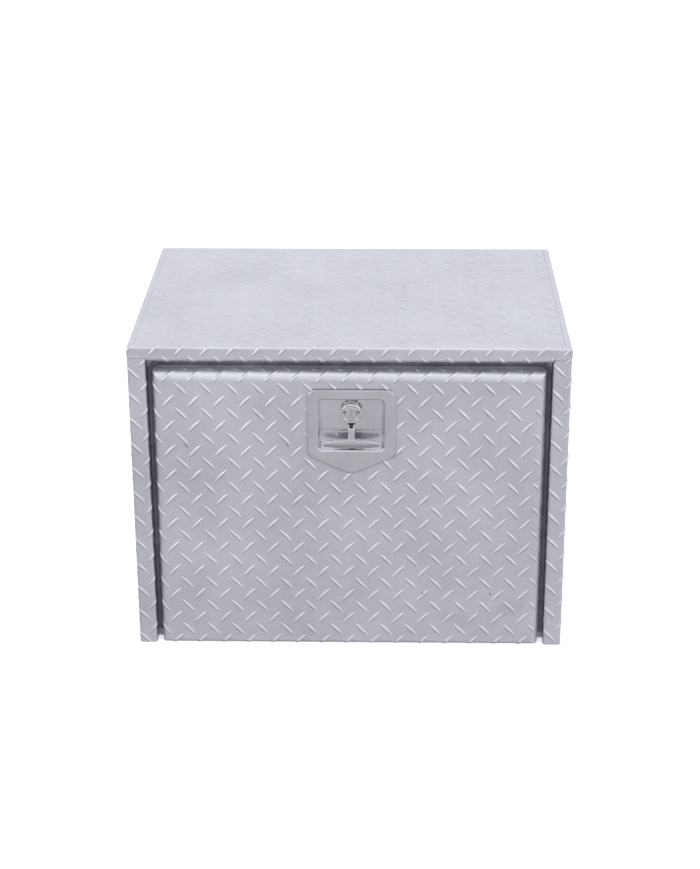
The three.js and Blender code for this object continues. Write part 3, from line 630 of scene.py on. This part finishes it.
def draw_pan(outline, hole):
    """Fills the pan's front view, with lines wherever its surface bends."""
    drawing = Drawing()
    drawing.line(outline, True)
    for inset in (0.35, 1.0, 2.0):
        drawing.line(shield(inset), True)
    a0, a1, b0, b1 = RECESS
    for inset in PAN_RINGS:
        corner = max(RECESS_CORNER - inset, 2.2)
        drawing.line(rounded(a0 + inset, a1 - inset, b0 + inset, b1 - inset, corner, 8), True)
    for level in np.linspace(TROUGH_TOP - 2.2, TROUGH_TOP + 1.4, 8):
        drawing.line([(a0 - PAN_LIP, level), (a1 + PAN_LIP, level)])
    drawing.line(hole, True)
    drawing.line(oval(LATCH_X, LATCH_Z, HUB_COLLAR, HUB_COLLAR), True)
    for a in np.linspace(a0 + 4, a1 - 4, 12):
        drawing.line([(a, b0 + 4), (a, b1 - 4)])
    for b in np.linspace(b0 + 4, b1 - 4, 9):
        drawing.line([(a0 + 4, b), (a1 - 4, b)])
    return drawing.fill(outline, [hole])


def pan_depth(flat):
    """How far back each point of the pan lies: rolled lip, steep wall, floor, and trough below."""
    inset = rectangle_inset(flat, *RECESS, RECESS_CORNER)
    step = smoothstep((TROUGH_TOP + 1.2 - flat[:, 1]) / 3.2)
    deep = RECESS_DEPTH - FLANGE_FRONT + (TROUGH_DEPTH - RECESS_DEPTH) * step
    rolled = np.clip((inset + PAN_LIP) / (PAN_LIP + 0.2), 0, 1)
    roll = PAN_LIP_DROP * (1 - np.sqrt(1 - rolled ** 2))
    wall = smoothstep((inset + 0.3) / 1.9) ** 0.9
    fall = np.clip(roll / deep + wall * (1 - PAN_LIP_DROP / deep), 0, 1)
    from_hub = np.hypot(flat[:, 0] - LATCH_X, flat[:, 1] - LATCH_Z)
    collar = HUB_COLLAR_HIGH * smoothstep((HUB_COLLAR - from_hub) / 1.2)
    depth = FLANGE_FRONT + deep * fall - collar
    for inset, drop in FLANGE_ROUNDING:
        ring = np.array(shield(inset))
        away = np.hypot(flat[:, None, 0] - ring[None, :, 0], flat[:, None, 1] - ring[None, :, 1])
        depth = np.where(np.min(away, 1) < 0.02, FLANGE_FRONT + drop, depth)
    return depth


def make_pan(material):
    flat, faces = draw_pan(shield(0), oval(LATCH_X, LATCH_Z, HUB_HOLE, HUB_HOLE))
    points = np.stack([flat[:, 0], pan_depth(flat), flat[:, 1]], 1)
    piece = new_object("latch_pressing", points, faces, 50)
    clean(piece, smooth=50)
    flatten(piece, BIG_FACE)
    if sum(p.normal.y * p.area for p in piece.data.polygons) > 0:
        piece.data.flip_normals()
    thick = piece.modifiers.new("thickness", "SOLIDIFY")
    thick.thickness = PAN_THICK * MM
    thick.offset = -1
    settle(piece, "door", "stainless_steel", material, "latch_pan")


# ---- pieces made from CAD nodes


def copy_of(node, name):
    """A new object with a merged copy of a CAD node's mesh."""
    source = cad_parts[node]
    mesh = source.data.copy()
    mesh.materials.clear()
    piece = bpy.data.objects.new(name, mesh)
    bpy.context.scene.collection.objects.link(piece)
    form = bmesh.new()
    form.from_mesh(mesh)
    bmesh.ops.remove_doubles(form, verts=form.verts, dist=0.00001)
    bmesh.ops.dissolve_limit(form, angle_limit=math.radians(1), verts=form.verts, edges=form.edges)
    form.to_mesh(mesh)
    form.free()
    return piece


def apply_modifiers(piece):
    bpy.context.view_layer.update()
    graph = bpy.context.evaluated_depsgraph_get()
    mesh = bpy.data.meshes.new_from_object(piece.evaluated_get(graph))
    piece.modifiers.clear()
    piece.data = mesh


def cast_copy(node, name, voxel, rounds, keep):
    """A CAD node's form with the soft corners of a casting."""
    piece = copy_of(node, name)
    remesh = piece.modifiers.new("skin", "REMESH")
    remesh.mode = "VOXEL"
    remesh.voxel_size = voxel * MM
    soft = piece.modifiers.new("soft", "SMOOTH")
    soft.factor = 0.5
    soft.iterations = rounds
    thin = piece.modifiers.new("thin", "DECIMATE")
    thin.ratio = keep
    apply_modifiers(piece)
    piece.data.shade_smooth()
    piece.data.set_sharp_from_angle(angle=math.radians(50))
    return piece


def refined(node, name, body, slot, material, bevel=0.3, segments=2):
    """A CAD node's form with its edges broken."""
    piece = copy_of(node, name)
    edge = piece.modifiers.new("edge", "BEVEL")
    edge.width = bevel * MM
    edge.segments = segments
    edge.limit_method = "ANGLE"
    edge.angle_limit = math.radians(30)
    edge.harden_normals = False
    edge.use_clamp_overlap = True
    apply_modifiers(piece)
    piece.data.shade_smooth()
    piece.data.set_sharp_from_angle(angle=math.radians(40))
    flatten(piece, BIG_FACE)
    return settle(piece, body, slot, material, node)


# ---- materials
TREAD_BASE = (0.765, 0.772, 0.825)
# colour of the bar crests: partly wear, partly painted highlight
TREAD_BAR_WEAR_AND_HIGHLIGHT = (0.82, 0.82, 0.855)
# colours of painted shade: round the doorway, and on the latch pan and the handle
DOORWAY_SHADE = (0.34, 0.36, 0.42)
METAL_SHADE = (0.22, 0.22, 0.24)
# colour of the door's dark marks, and of the painted shade for two small holes
SCUFF_AND_HOLE_SHADE = (0.10, 0.10, 0.12)
RUBBER = (0.17, 0.175, 0.20)
RUBBER_DUST = (0.30, 0.305, 0.34)
# in metres, where the painted shade round the doorway starts and where it is full
DOORWAY_SIDE = (0.2842, 0.2832)
DOORWAY_TOP = (0.4372, 0.4362)
DOORWAY_FRONT = (FRONT + 0.0012, FRONT + 0.005)
DOORWAY_BACK = (FRONT + 0.034, FRONT + 0.030)
# heights in metres where a painted shade starts and is full, and its share
# painted shade: a dark line along the top edge of the latch flange
PAN_SHADE = ((0.3945, 0.3950, 0.85),)
# painted shade: the lower half of the handle's bar, and the top of its stem
HANDLE_SHADE = ((0.3146, 0.3136, 0.5), (0.3360, 0.3385, 0.5))


def colour(red, green, blue):
    return (red, green, blue, 1)


def scaled(base, share):
    return colour(*(v * share for v in base))


def filled(node, **values):
    """Sets a node's sockets, whose names have spaces where these have underscores."""
    for name, value in values.items():
        node.inputs[name.replace("_", " ")].default_value = value
    return node


class Nodes:
    """A material's shader, built node by node."""

    def __init__(self, name, metallic, roughness):
        self.material = bpy.data.materials.new(name)
        self.material.use_nodes = True
        self.tree = self.material.node_tree
        self.shader = self.tree.nodes["Principled BSDF"]
        filled(self.shader, Metallic=metallic, Roughness=roughness)
        self.where = self.tree.nodes.new("ShaderNodeTexCoord").outputs["Object"]

    def link(self, source, node, socket):
        self.tree.links.new(source, node.inputs[socket])

    def stretched(self, x, y, z):
        node = filled(self.tree.nodes.new("ShaderNodeMapping"), Scale=(x, y, z))
        self.link(self.where, node, "Vector")
        return node.outputs["Vector"]

    def noise(self, scale, detail=3, rough=0.5, vector=None):
        node = self.tree.nodes.new("ShaderNodeTexNoise")
        filled(node, Scale=scale, Detail=detail, Roughness=rough)
        self.link(vector or self.where, node, "Vector")
        return node.outputs["Fac"]

    def ramp(self, source, low, high, to_low=0.0, to_high=1.0):
        node = self.tree.nodes.new("ShaderNodeMapRange")
        filled(node, From_Min=low, From_Max=high, To_Min=to_low, To_Max=to_high)
        self.link(source, node, "Value")
        return node.outputs["Result"]

    def spot(self, x, z, long, wide, lean):
        """A soft-edged oval mark on the front, 1 in its middle."""
        node = self.tree.nodes.new("ShaderNodeMapping")
        node.vector_type = "TEXTURE"
        filled(node, Location=(x * MM, FRONT, z * MM), Rotation=(0, -math.radians(lean), 0))
        filled(node, Scale=(long * MM, 0.01, wide * MM))
        self.link(self.where, node, "Vector")
        far = self.tree.nodes.new("ShaderNodeVectorMath")
        far.operation = "LENGTH"
        self.tree.links.new(node.outputs["Vector"], far.inputs[0])
        ragged = self.math("ADD", far.outputs["Value"], self.ramp(self.noise(500, 3), 0.3, 0.7, -0.3, 0.3))
        return self.ramp(ragged, 1.0, 0.55)

    def parts(self):
        """The X, Y and Z of the place that is shaded, in metres."""
        node = self.tree.nodes.new("ShaderNodeSeparateXYZ")
        self.link(self.where, node, "Vector")
        return node.outputs

    def doorway(self):
        """1 on the turned-in edges round the doorway, where shade is painted, 0 elsewhere."""
        parts = self.parts()
        share = self.ramp(self.math("ABSOLUTE", parts["X"], 0), *DOORWAY_SIDE)
        share = self.math("MULTIPLY", share, self.ramp(parts["Z"], *DOORWAY_TOP))
        share = self.math("MULTIPLY", share, self.ramp(parts["Y"], *DOORWAY_FRONT))
        return self.math("MULTIPLY", share, self.ramp(parts["Y"], *DOORWAY_BACK))

    def math(self, operation, first, second):
        node = self.tree.nodes.new("ShaderNodeMath")
        node.operation = operation
        for k, value in enumerate((first, second)):
            if isinstance(value, (int, float)):
                node.inputs[k].default_value = value
            else:
                self.tree.links.new(value, node.inputs[k])
        return node.outputs["Value"]

    def mix(self, share, first, second):
        node = self.tree.nodes.new("ShaderNodeMix")
        node.data_type = "RGBA"
        self.tree.links.new(share, node.inputs[0])
        for k, value in ((6, first), (7, second)):
            if isinstance(value, tuple):
                node.inputs[k].default_value = value
            else:
                self.tree.links.new(value, node.inputs[k])
        return node.outputs[2]

    def bump(self, height, strength, distance, below=None):
        node = self.tree.nodes.new("ShaderNodeBump")
        filled(node, Strength=strength, Distance=distance)
        self.link(height, node, "Height")
        if below:
            self.link(below, node, "Normal")
        return node.outputs["Normal"]

    def attribute(self, name):
        node = self.tree.nodes.new("ShaderNodeAttribute")
        node.attribute_name = name
        return node.outputs["Fac"]

    def finish(self, base, roughness, normal):
        self.link(base, self.shader, "Base Color")
        self.link(roughness, self.shader, "Roughness")
        self.link(normal, self.shader, "Normal")
        return self.material


SCRATCHES_AND_HOLE_SHADE = (  # x, z, half length, half width, lean in degrees, darkness
    (-228, 310, 6.0, 1.3, -42, 0.6),
    (-86, 311, 4.5, 1.1, -48, 0.5),
    # painted shade: the next two small round spots stand for small holes that are not modelled
    (104.6, 82, 2.2, 1.5, 70, 0.75),
    (201.4, 82, 2.4, 1.5, 80, 0.75),
    (232, 60, 26, 15, 20, 0.10),
    (150, 40, 34, 12, -10, 0.08),
    (190, 120, 22, 16, 50, 0.07),
)


def tread_material(name, marks=(), gap=0.0):
    """Rolled aluminium: cloudy sheen, faint rolling lines, bar crests smoother and lighter, partly from
    wear and partly as a painted highlight.
    """
    n = Nodes(name, 0.72, 0.4)
    cloud = n.noise(9, 4, 0.55)
    mottle = n.noise(70, 4, 0.6)
    grain = n.noise(1400, 2)
    rolled = n.noise(120, 3, 0.5, n.stretched(0.06, 1, 1))
    bar = n.attribute("bar")
    # the bar crests turn paler and smoother, partly wear and partly a painted highlight
    bar_wear_and_highlight = n.math("MULTIPLY", n.ramp(bar, 0.45, 0.95), n.ramp(mottle, 0.3, 0.6, 0.35, 1))
    plate = n.mix(n.ramp(cloud, 0.35, 0.68), scaled(TREAD_BASE, 0.88), colour(*TREAD_BASE))
    plate = n.mix(n.ramp(mottle, 0.45, 0.75, 0, 0.3), plate, scaled(TREAD_BASE, 1.08))
    finish = n.mix(bar_wear_and_highlight, plate, colour(*TREAD_BAR_WEAR_AND_HIGHLIGHT))
    for x, z, long, wide, lean, dark in marks:
        spot = n.spot(x, z, long, wide, lean)
        finish = n.mix(n.math("MULTIPLY", spot, dark), finish, colour(*SCUFF_AND_HOLE_SHADE))
    # painted shade: the doorway's turned-in edges darken towards DOORWAY_SHADE
    if gap:
        finish = n.mix(n.math("MULTIPLY", n.doorway(), gap), finish, colour(*DOORWAY_SHADE))
    rough = n.math("ADD", n.ramp(cloud, 0.3, 0.7, 0.36, 0.46), n.ramp(mottle, 0.3, 0.7, -0.05, 0.06))
    rough = n.math("SUBTRACT", rough, n.math("MULTIPLY", bar_wear_and_highlight, 0.12))
    normal = n.bump(rolled, 0.05, 0.0006)
    normal = n.bump(grain, 0.10, 0.00025, normal)
    normal = n.bump(mottle, 0.10, 0.0012, normal)
    return n.finish(finish, rough, normal)


def plain_metal(name, base, rough, lines=0.05, stretch=(0.05, 1, 1), spread=0.07, shade=()):
    """Plain metal with a cloudy finish and fine drawn lines, and painted shade in bands of height where
    shade is given.
    """
    n = Nodes(name, 1.0, rough)
    cloud = n.noise(22, 3, 0.55)
    drawn = n.noise(700, 3, 0.5, n.stretched(*stretch))
    speck = n.noise(300, 2)
    tint = n.mix(n.ramp(cloud, 0.3, 0.7), scaled(base, 0.9), colour(*base))
    tint = n.mix(n.ramp(speck, 0.55, 0.75, 0, 0.3), tint, scaled(base, 0.8))
    # painted shade: each band darkens the tint towards METAL_SHADE
    for clear, full, share in shade:
        tint = n.mix(n.ramp(n.parts()["Z"], clear, full, 0, share), tint, colour(*METAL_SHADE))
    cloudy = n.ramp(cloud, 0.3, 0.7, rough - spread / 2, rough + spread / 2)
    rougher = n.math("ADD", cloudy, n.ramp(drawn, 0.3, 0.7, -0.03, 0.03))
    normal = n.bump(drawn, lines, 0.0004)
    normal = n.bump(speck, 0.04, 0.0003, normal)
    return n.finish(tint, rougher, normal)


def rubber_material():
    """Matt rubber with a dusty bloom and moulded grain."""
    n = Nodes("seal_rubber_black", 0.0, 0.62)
    cloud = n.noise(40, 4, 0.6)
    grain = n.noise(900, 3)
    tint = n.mix(n.ramp(cloud, 0.35, 0.75), colour(*RUBBER), colour(*RUBBER_DUST))
    rough = n.ramp(cloud, 0.3, 0.7, 0.5, 0.7)
    return n.finish(tint, rough, n.bump(grain, 0.2, 0.0003))


EVEN = (1, 1, 1)  # no drawn direction
POLISHED = dict(base=(0.80, 0.80, 0.84), rough=0.24, lines=0.02, stretch=(0.08, 1, 1), spread=0.05)
PLATED = dict(base=(0.80, 0.80, 0.83), rough=0.22, lines=0.01, stretch=EVEN, spread=0.05)

# the box's sheets carry painted shade round the doorway
tread = tread_material("tread_aluminium", gap=0.8)
door_tread = tread_material("tread_aluminium_door", marks=SCRATCHES_AND_HOLE_SHADE)
mill = plain_metal("mill_aluminium", (0.76, 0.765, 0.79), 0.38)
stainless = plain_metal("polished_stainless", **POLISHED)
# the pan's material has painted shade along its top edge
pan_stainless = plain_metal("polished_pan_painted_shade", **POLISHED, shade=PAN_SHADE)
# the handle's material has painted shade on its bar and stem
handle_plate_painted_shade = plain_metal("handle_plate_painted_shade", **PLATED, shade=HANDLE_SHADE)
bright = plain_metal("bright_plate", **PLATED)
# dark material of the face pockets, also used as painted shade on the head's tongue
shadowed = plain_metal("oxide_black_and_painted_shade", (0.10, 0.10, 0.11), 0.5, 0.05, EVEN)
zinc = plain_metal("zinc_plate", (0.52, 0.53, 0.55), 0.33, 0.03)
rubber = rubber_material()
weld = plain_metal("weld_aluminium", (0.80, 0.80, 0.83), 0.25, 0.05, EVEN)

make_top(tread)
make_sides(tread)
make_back(tread)
make_base(tread)
make_door(door_tread)
make_pan(pan_stainless)


# ---- handle, head and key
def lathe(name, x, z, outline, steps=48, smooth=45):
    """Turns a closed outline of (radius, y) points about the line along y through x and z."""
    points = []
    for i in range(steps):
        angle = 2 * math.pi * i / steps
        points += [(x + r * math.cos(angle), y, z + r * math.sin(angle)) for r, y in outline]
    piece = new_object(name, points, band_faces(steps, len(outline), closed=True), smooth)
    clean(piece, 0.001, smooth)
    return piece


TONGUE_HALF = 2.6  # the head's tongue, between the arms of its fork
TONGUE_TOP = 351
TONGUE_FRONT = -1.0
POCKET_X = 9.0  # the two small dark marks on the head, from its middle
POCKET_Z = 2.5
RIVET_X = -18.0
RIVET_Z = 321.0
DOME = [(0.05, 15.6), (0.9, 15.7), (1.6, 16.1), (2.0, 16.8), (2.1, 18.2), (0.05, 18.2)]


def pocket_outline(face):
    return [(0.05, face - 0.14), (1.3, face - 0.12), (1.9, face), (2.1, face + 0.3), (0.05, face + 0.5)]


def make_handle():
    piece = cast_copy("t_handle", "cast_t_handle", 0.55, 14, 0.5)
    settle(piece, "t_handle", "bright_steel", handle_plate_painted_shade, "t_handle")
    head = refined("latch_hub", "latch_head", "latch_spindle", "bright_steel", bright, 1.1, 4)
    head.data.materials.append(shadowed)
    # painted shade: the tongue's faces between the fork's arms take the black material, as the shade
    # between head and stem
    for face in head.data.polygons:
        centre = face.center / MM
        behind = centre.y - FRONT / MM > TONGUE_FRONT
        if behind and centre.z < TONGUE_TOP and abs(centre.x - LATCH_X) < TONGUE_HALF:
            face.material_index = 1
    low, high = span("latch_hub")
    front = low.y
    radius = (high.x - low.x) / 2
    rim = lathe("head_rim", LATCH_X, LATCH_Z, oval(radius - 1.9, front + 0.1, 1.3, 0.75, 12))
    settle(rim, "latch_spindle", "bright_steel", bright)
    collar = lathe("plug_collar", LATCH_X, LATCH_Z, oval(8.5, front + 0.15, 0.65, 0.7, 12))
    settle(collar, "latch_spindle", "bright_steel", bright)
    for side, name in ((-1, "left_face_pocket"), (1, "right_face_pocket")):
        pocket = lathe(name, LATCH_X + side * POCKET_X, LATCH_Z + POCKET_Z, pocket_outline(front), 20)
        settle(pocket, "latch_spindle", "zinc_steel", shadowed)
    refined("lock_plug", "key_plug", "lock_plug", "bright_steel", bright)
    rivet = lathe("trough_rivet", RIVET_X, RIVET_Z, DOME, 24)
    settle(rivet, "door", "stainless_steel", bright)


make_handle()

REFINED = (  # body, slot, material, then the CAD node, name and bevel of each piece
    ("door", "plain_aluminium", mill, ("door_liner", "liner_sheet", 0.6),
     ("left_door_tab", "left_door_anchor", 0.5), ("right_door_tab", "right_door_anchor", 0.5)),
    ("box", "plain_aluminium", mill,
     ("left_box_tab", "left_box_anchor", 0.5), ("right_box_tab", "right_box_anchor", 0.5)),
    ("box", "stainless_steel", stainless, ("hinge_leaf_box", "box_hinge_leaf", 0.2)),
    ("door", "stainless_steel", stainless, ("hinge_leaf_door", "door_hinge_leaf", 0.2)),
    ("box", "stainless_steel", stainless, ("hinge_pin", "hinge_rod", 0.2), ("strike_plate", "strike", 0.4)),
    ("door", "zinc_steel", zinc, ("latch_backing_frame", "backing_frame", 0.3)),
    ("latch_spindle", "zinc_steel", zinc, ("handle_pin", "handle_rod", 0.2),
     ("spindle_bush", "spindle_sleeve", 0.3), ("latch_cam", "cam_bar", 0.4),
     ("cam_washer", "cam_ring", 0.25), ("cam_nut", "cam_hexagon", 0.35)),
    ("door", "seal_rubber", rubber, ("latch_gasket", "pan_gasket", 0.2)),
)
for body, slot, material, *rows in REFINED:
    for node, name, bevel in rows:
        refined(node, name, body, slot, material, bevel)
for i in range(1, 5):
    refined(f"latch_stud_{i}", f"pan_stud_{i}", "door", "zinc_steel", zinc, 0.25)
    refined(f"latch_nut_{i}", f"pan_nut_{i}", "door", "zinc_steel", zinc, 0.3)
for i in range(1, 6):
    refined(f"door_hinge_rivet_{i}", f"door_rivet_{i}", "door", "stainless_steel", stainless, 0.35)
    refined(f"box_hinge_rivet_{i}", f"box_rivet_{i}", "box", "stainless_steel", stainless, 0.35)


# ---- seal
BULB_RADIUS = 3.5
SEAL_HALF = 6.0  # half the width of the seal's base
SEAL_EXTRA = 2.2  # what its outer side has more
SEAL_BASE = 2.2  # the base's thickness
SEAL_CORNER = 8.0
TAIL_FOOT = 12.0
TAIL_OVERLAP = 10  # how far the tails run up into the ring
TAIL_OUT = 0.8
TAIL_THIN = 0.92


def sweep_ring(name, path, section):
    """Sweeps a closed section, as (side, y) pairs, round a closed path in the x-z plane."""
    path = np.array(path, float)
    ahead = np.roll(path, -1, 0) - np.roll(path, 1, 0)
    ahead /= np.linalg.norm(ahead, axis=1)[:, None]
    side = np.stack([ahead[:, 1], -ahead[:, 0]], 1)
    points = []
    for p, s in zip(path, side):
        points += [(p[0] + s[0] * a, y, p[1] + s[1] * a) for a, y in section]
    piece = new_object(name, points, band_faces(len(path), len(section), closed=True), 40)
    clean(piece, smooth=40)
    return piece


def seal_section(front, back):
    """A bulb on a base, as (side, y) pairs; the bulb faces the door."""
    section = []
    for i in range(15):
        angle = math.pi * (-0.12 + 1.24 * i / 14)
        section.append((BULB_RADIUS * math.cos(angle), front + BULB_RADIUS * 0.93 * (1 - math.sin(angle))))
    section += [(-SEAL_HALF, back - SEAL_BASE), (-SEAL_HALF, back)]
    section += [(SEAL_HALF + SEAL_EXTRA, back), (SEAL_HALF + SEAL_EXTRA, back - SEAL_BASE)]
    return section


def make_seal():
    """The seal's ring, and a tail below each of its lower corners."""
    low, high = span("door_seal")
    left, right = low.x + SEAL_HALF, high.x - SEAL_HALF
    path = rounded(left, right, low.z + SEAL_HALF, high.z - SEAL_HALF, SEAL_CORNER, 10)
    section = seal_section(low.y, high.y)
    piece = sweep_ring("bulb_seal", path, section)
    settle(piece, "box", "seal_rubber", rubber, "door_seal")
    levels = np.linspace(TAIL_FOOT, low.z + TAIL_OVERLAP, 8)
    around = len(section)
    for side, name in ((-1, "left"), (1, "right")):
        middle = side * (right + TAIL_OUT)
        points = []
        for z in levels:
            points += [(middle + side * a * TAIL_THIN, y, z) for a, y in section]
        faces = band_faces(len(levels), around)
        faces.append(tuple(range(around)))
        faces.append(tuple((len(levels) - 1) * around + j for j in range(around)))
        tail = new_object(f"seal_tail_{name}", points, faces, 40)
        clean(tail, smooth=40)
        settle(tail, "box", "seal_rubber", rubber)


make_seal()


# ---- weld beads
WELD_RIPPLE = 1.3
WELD_SQUASH = 0.55
WELD_STEP = 0.45
WELD_AROUND = 12


def bead(name, start, end, radius):
    """A rippled weld bead between two points, half sunk in its joint."""
    start, end = Vector(start), Vector(end)
    run = end - start
    length = run.length
    ahead = run.normalized()
    side = ahead.cross(Vector((0, 1, 0.3)).normalized())
    side.normalize()
    lift = side.cross(ahead)
    rings = max(int(length / WELD_STEP), 8)
    points = []
    for i in range(rings + 1):
        t = i / rings
        s = t * length
        taper = math.sqrt(max(1 - abs(2 * t - 1) ** 6, 0.02))
        wave = 1 + 0.16 * math.sin(2 * math.pi * s / WELD_RIPPLE)
        wave += 0.10 * math.sin(s * 0.9 + start.x * 0.1) + 0.06 * math.sin(s * 2.3 + start.z)
        r = radius * taper * wave
        middle = start + ahead * s + side * radius * 0.18 * math.sin(s * 0.7 + start.x)
        for j in range(WELD_AROUND):
            angle = 2 * math.pi * j / WELD_AROUND
            points.append(middle + side * r * math.cos(angle) + lift * r * WELD_SQUASH * math.sin(angle))
    faces = band_faces(rings + 1, WELD_AROUND)
    faces.append(tuple(range(WELD_AROUND))[::-1])
    faces.append(tuple(rings * WELD_AROUND + j for j in range(WELD_AROUND)))
    piece = new_object(name, [tuple(p) for p in points], faces, 60)
    clean(piece, 0.001, 60)
    return settle(piece, "box", "tread_plate", weld)


def make_welds():
    inner = BOX_HALF - STILE - 1.2
    outer = BOX_HALF - 1.5
    corner = BOX_HALF - 0.8
    for side, name in ((-1, "left"), (1, "right")):
        bead(f"weld_{name}_rail", (side * outer, 0.2, JOINT), (side * inner, 0.2, JOINT), 1.4)
        bead(f"weld_{name}_corner", (side * corner, 1.2, JOINT), (side * corner, 1.2, BOX_TOP - 3), 0.9)


make_welds()


# ---- studio
LAMPS = (  # name, place in metres, size in metres, power in watts
    ("key", (-2.3, -1.9, 1.35), 1.0, 8),
    ("fill", (2.4, -1.9, 1.35), 1.0, 5),
    ("top_front", (0.0, -1.6, 2.9), 2.2, 9),
)
LAMP_AIM = Vector((0, 0, 0.25))
FLOOR_REACH = 14
WORLD_TINT = (("Red", 0.985), ("Green", 0.99), ("Blue", 1.03))


def make_world():
    """A pale studio all round, darker below, overhead and to the left."""
    scene = bpy.context.scene
    view = scene.view_settings
    view.view_transform, view.look, view.exposure, view.gamma = "Standard", "None", 0, 1
    world = bpy.data.worlds.new("studio")
    scene.world = world
    world.use_nodes = True
    tree = world.node_tree
    background = filled(tree.nodes["Background"], Strength=1.0)

    def node(kind, **values):
        return filled(tree.nodes.new(kind), **values)

    where = node("ShaderNodeTexCoord")
    parts = node("ShaderNodeSeparateXYZ")
    tree.links.new(where.outputs["Generated"], parts.inputs[0])
    rise = node("ShaderNodeMapRange", From_Min=-0.3, From_Max=0.3, To_Min=0.60, To_Max=0.99)
    below = node("ShaderNodeMapRange", From_Min=-0.95, From_Max=-0.45, To_Min=0.30, To_Max=0.0)
    fall = node("ShaderNodeMapRange", From_Min=0.45, From_Max=1.0, To_Min=0.0, To_Max=0.22)
    lean = node("ShaderNodeMapRange", From_Min=-0.8, From_Max=0.4, To_Min=0.14, To_Max=0.0)
    for ramp, axis in ((rise, "Z"), (fall, "Z"), (below, "Z"), (lean, "X")):
        tree.links.new(parts.outputs[axis], ramp.inputs["Value"])
    total = rise.outputs["Result"]
    for other in (fall, below, lean):
        less = node("ShaderNodeMath")
        less.operation = "SUBTRACT"
        tree.links.new(total, less.inputs[0])
        tree.links.new(other.outputs["Result"], less.inputs[1])
        total = less.outputs[0]
    tint = node("ShaderNodeCombineColor")
    for name, share in WORLD_TINT:
        more = node("ShaderNodeMath")
        more.operation = "MULTIPLY"
        more.inputs[1].default_value = share
        tree.links.new(total, more.inputs[0])
        tree.links.new(more.outputs[0], tint.inputs[name])
    tree.links.new(tint.outputs[0], background.inputs["Color"])


def make_floor():
    """A pale floor that reflections and bounced light don't see."""
    mesh = bpy.data.meshes.new("floor")
    corners = [(a * FLOOR_REACH, b * FLOOR_REACH, 0) for a, b in ((-1, -1), (1, -1), (1, 1), (-1, 1))]
    mesh.from_pydata(corners, [], [(0, 1, 2, 3)])
    floor = bpy.data.objects.new("floor", mesh)
    bpy.context.scene.collection.objects.link(floor)
    material = bpy.data.materials.new("pale_floor")
    material.use_nodes = True
    shader = material.node_tree.nodes["Principled BSDF"]
    filled(shader, Base_Color=colour(0.86, 0.86, 0.865), Roughness=0.9, Specular_IOR_Level=0.1)
    filled(shader, Emission_Color=colour(1, 1, 1), Emission_Strength=0.55)
    mesh.materials.append(material)
    floor.visible_glossy = False
    floor.visible_diffuse = False


def make_lamps():
    for name, spot, size, power in LAMPS:
        lamp = bpy.data.lights.new(name, "AREA")
        lamp.energy = power
        lamp.size = size
        holder = bpy.data.objects.new(name, lamp)
        holder.location = spot
        holder.rotation_mode = "QUATERNION"
        holder.rotation_quaternion = (LAMP_AIM - holder.location).to_track_quat("-Z", "Y")
        bpy.context.scene.collection.objects.link(holder)


make_world()
make_floor()
make_lamps()
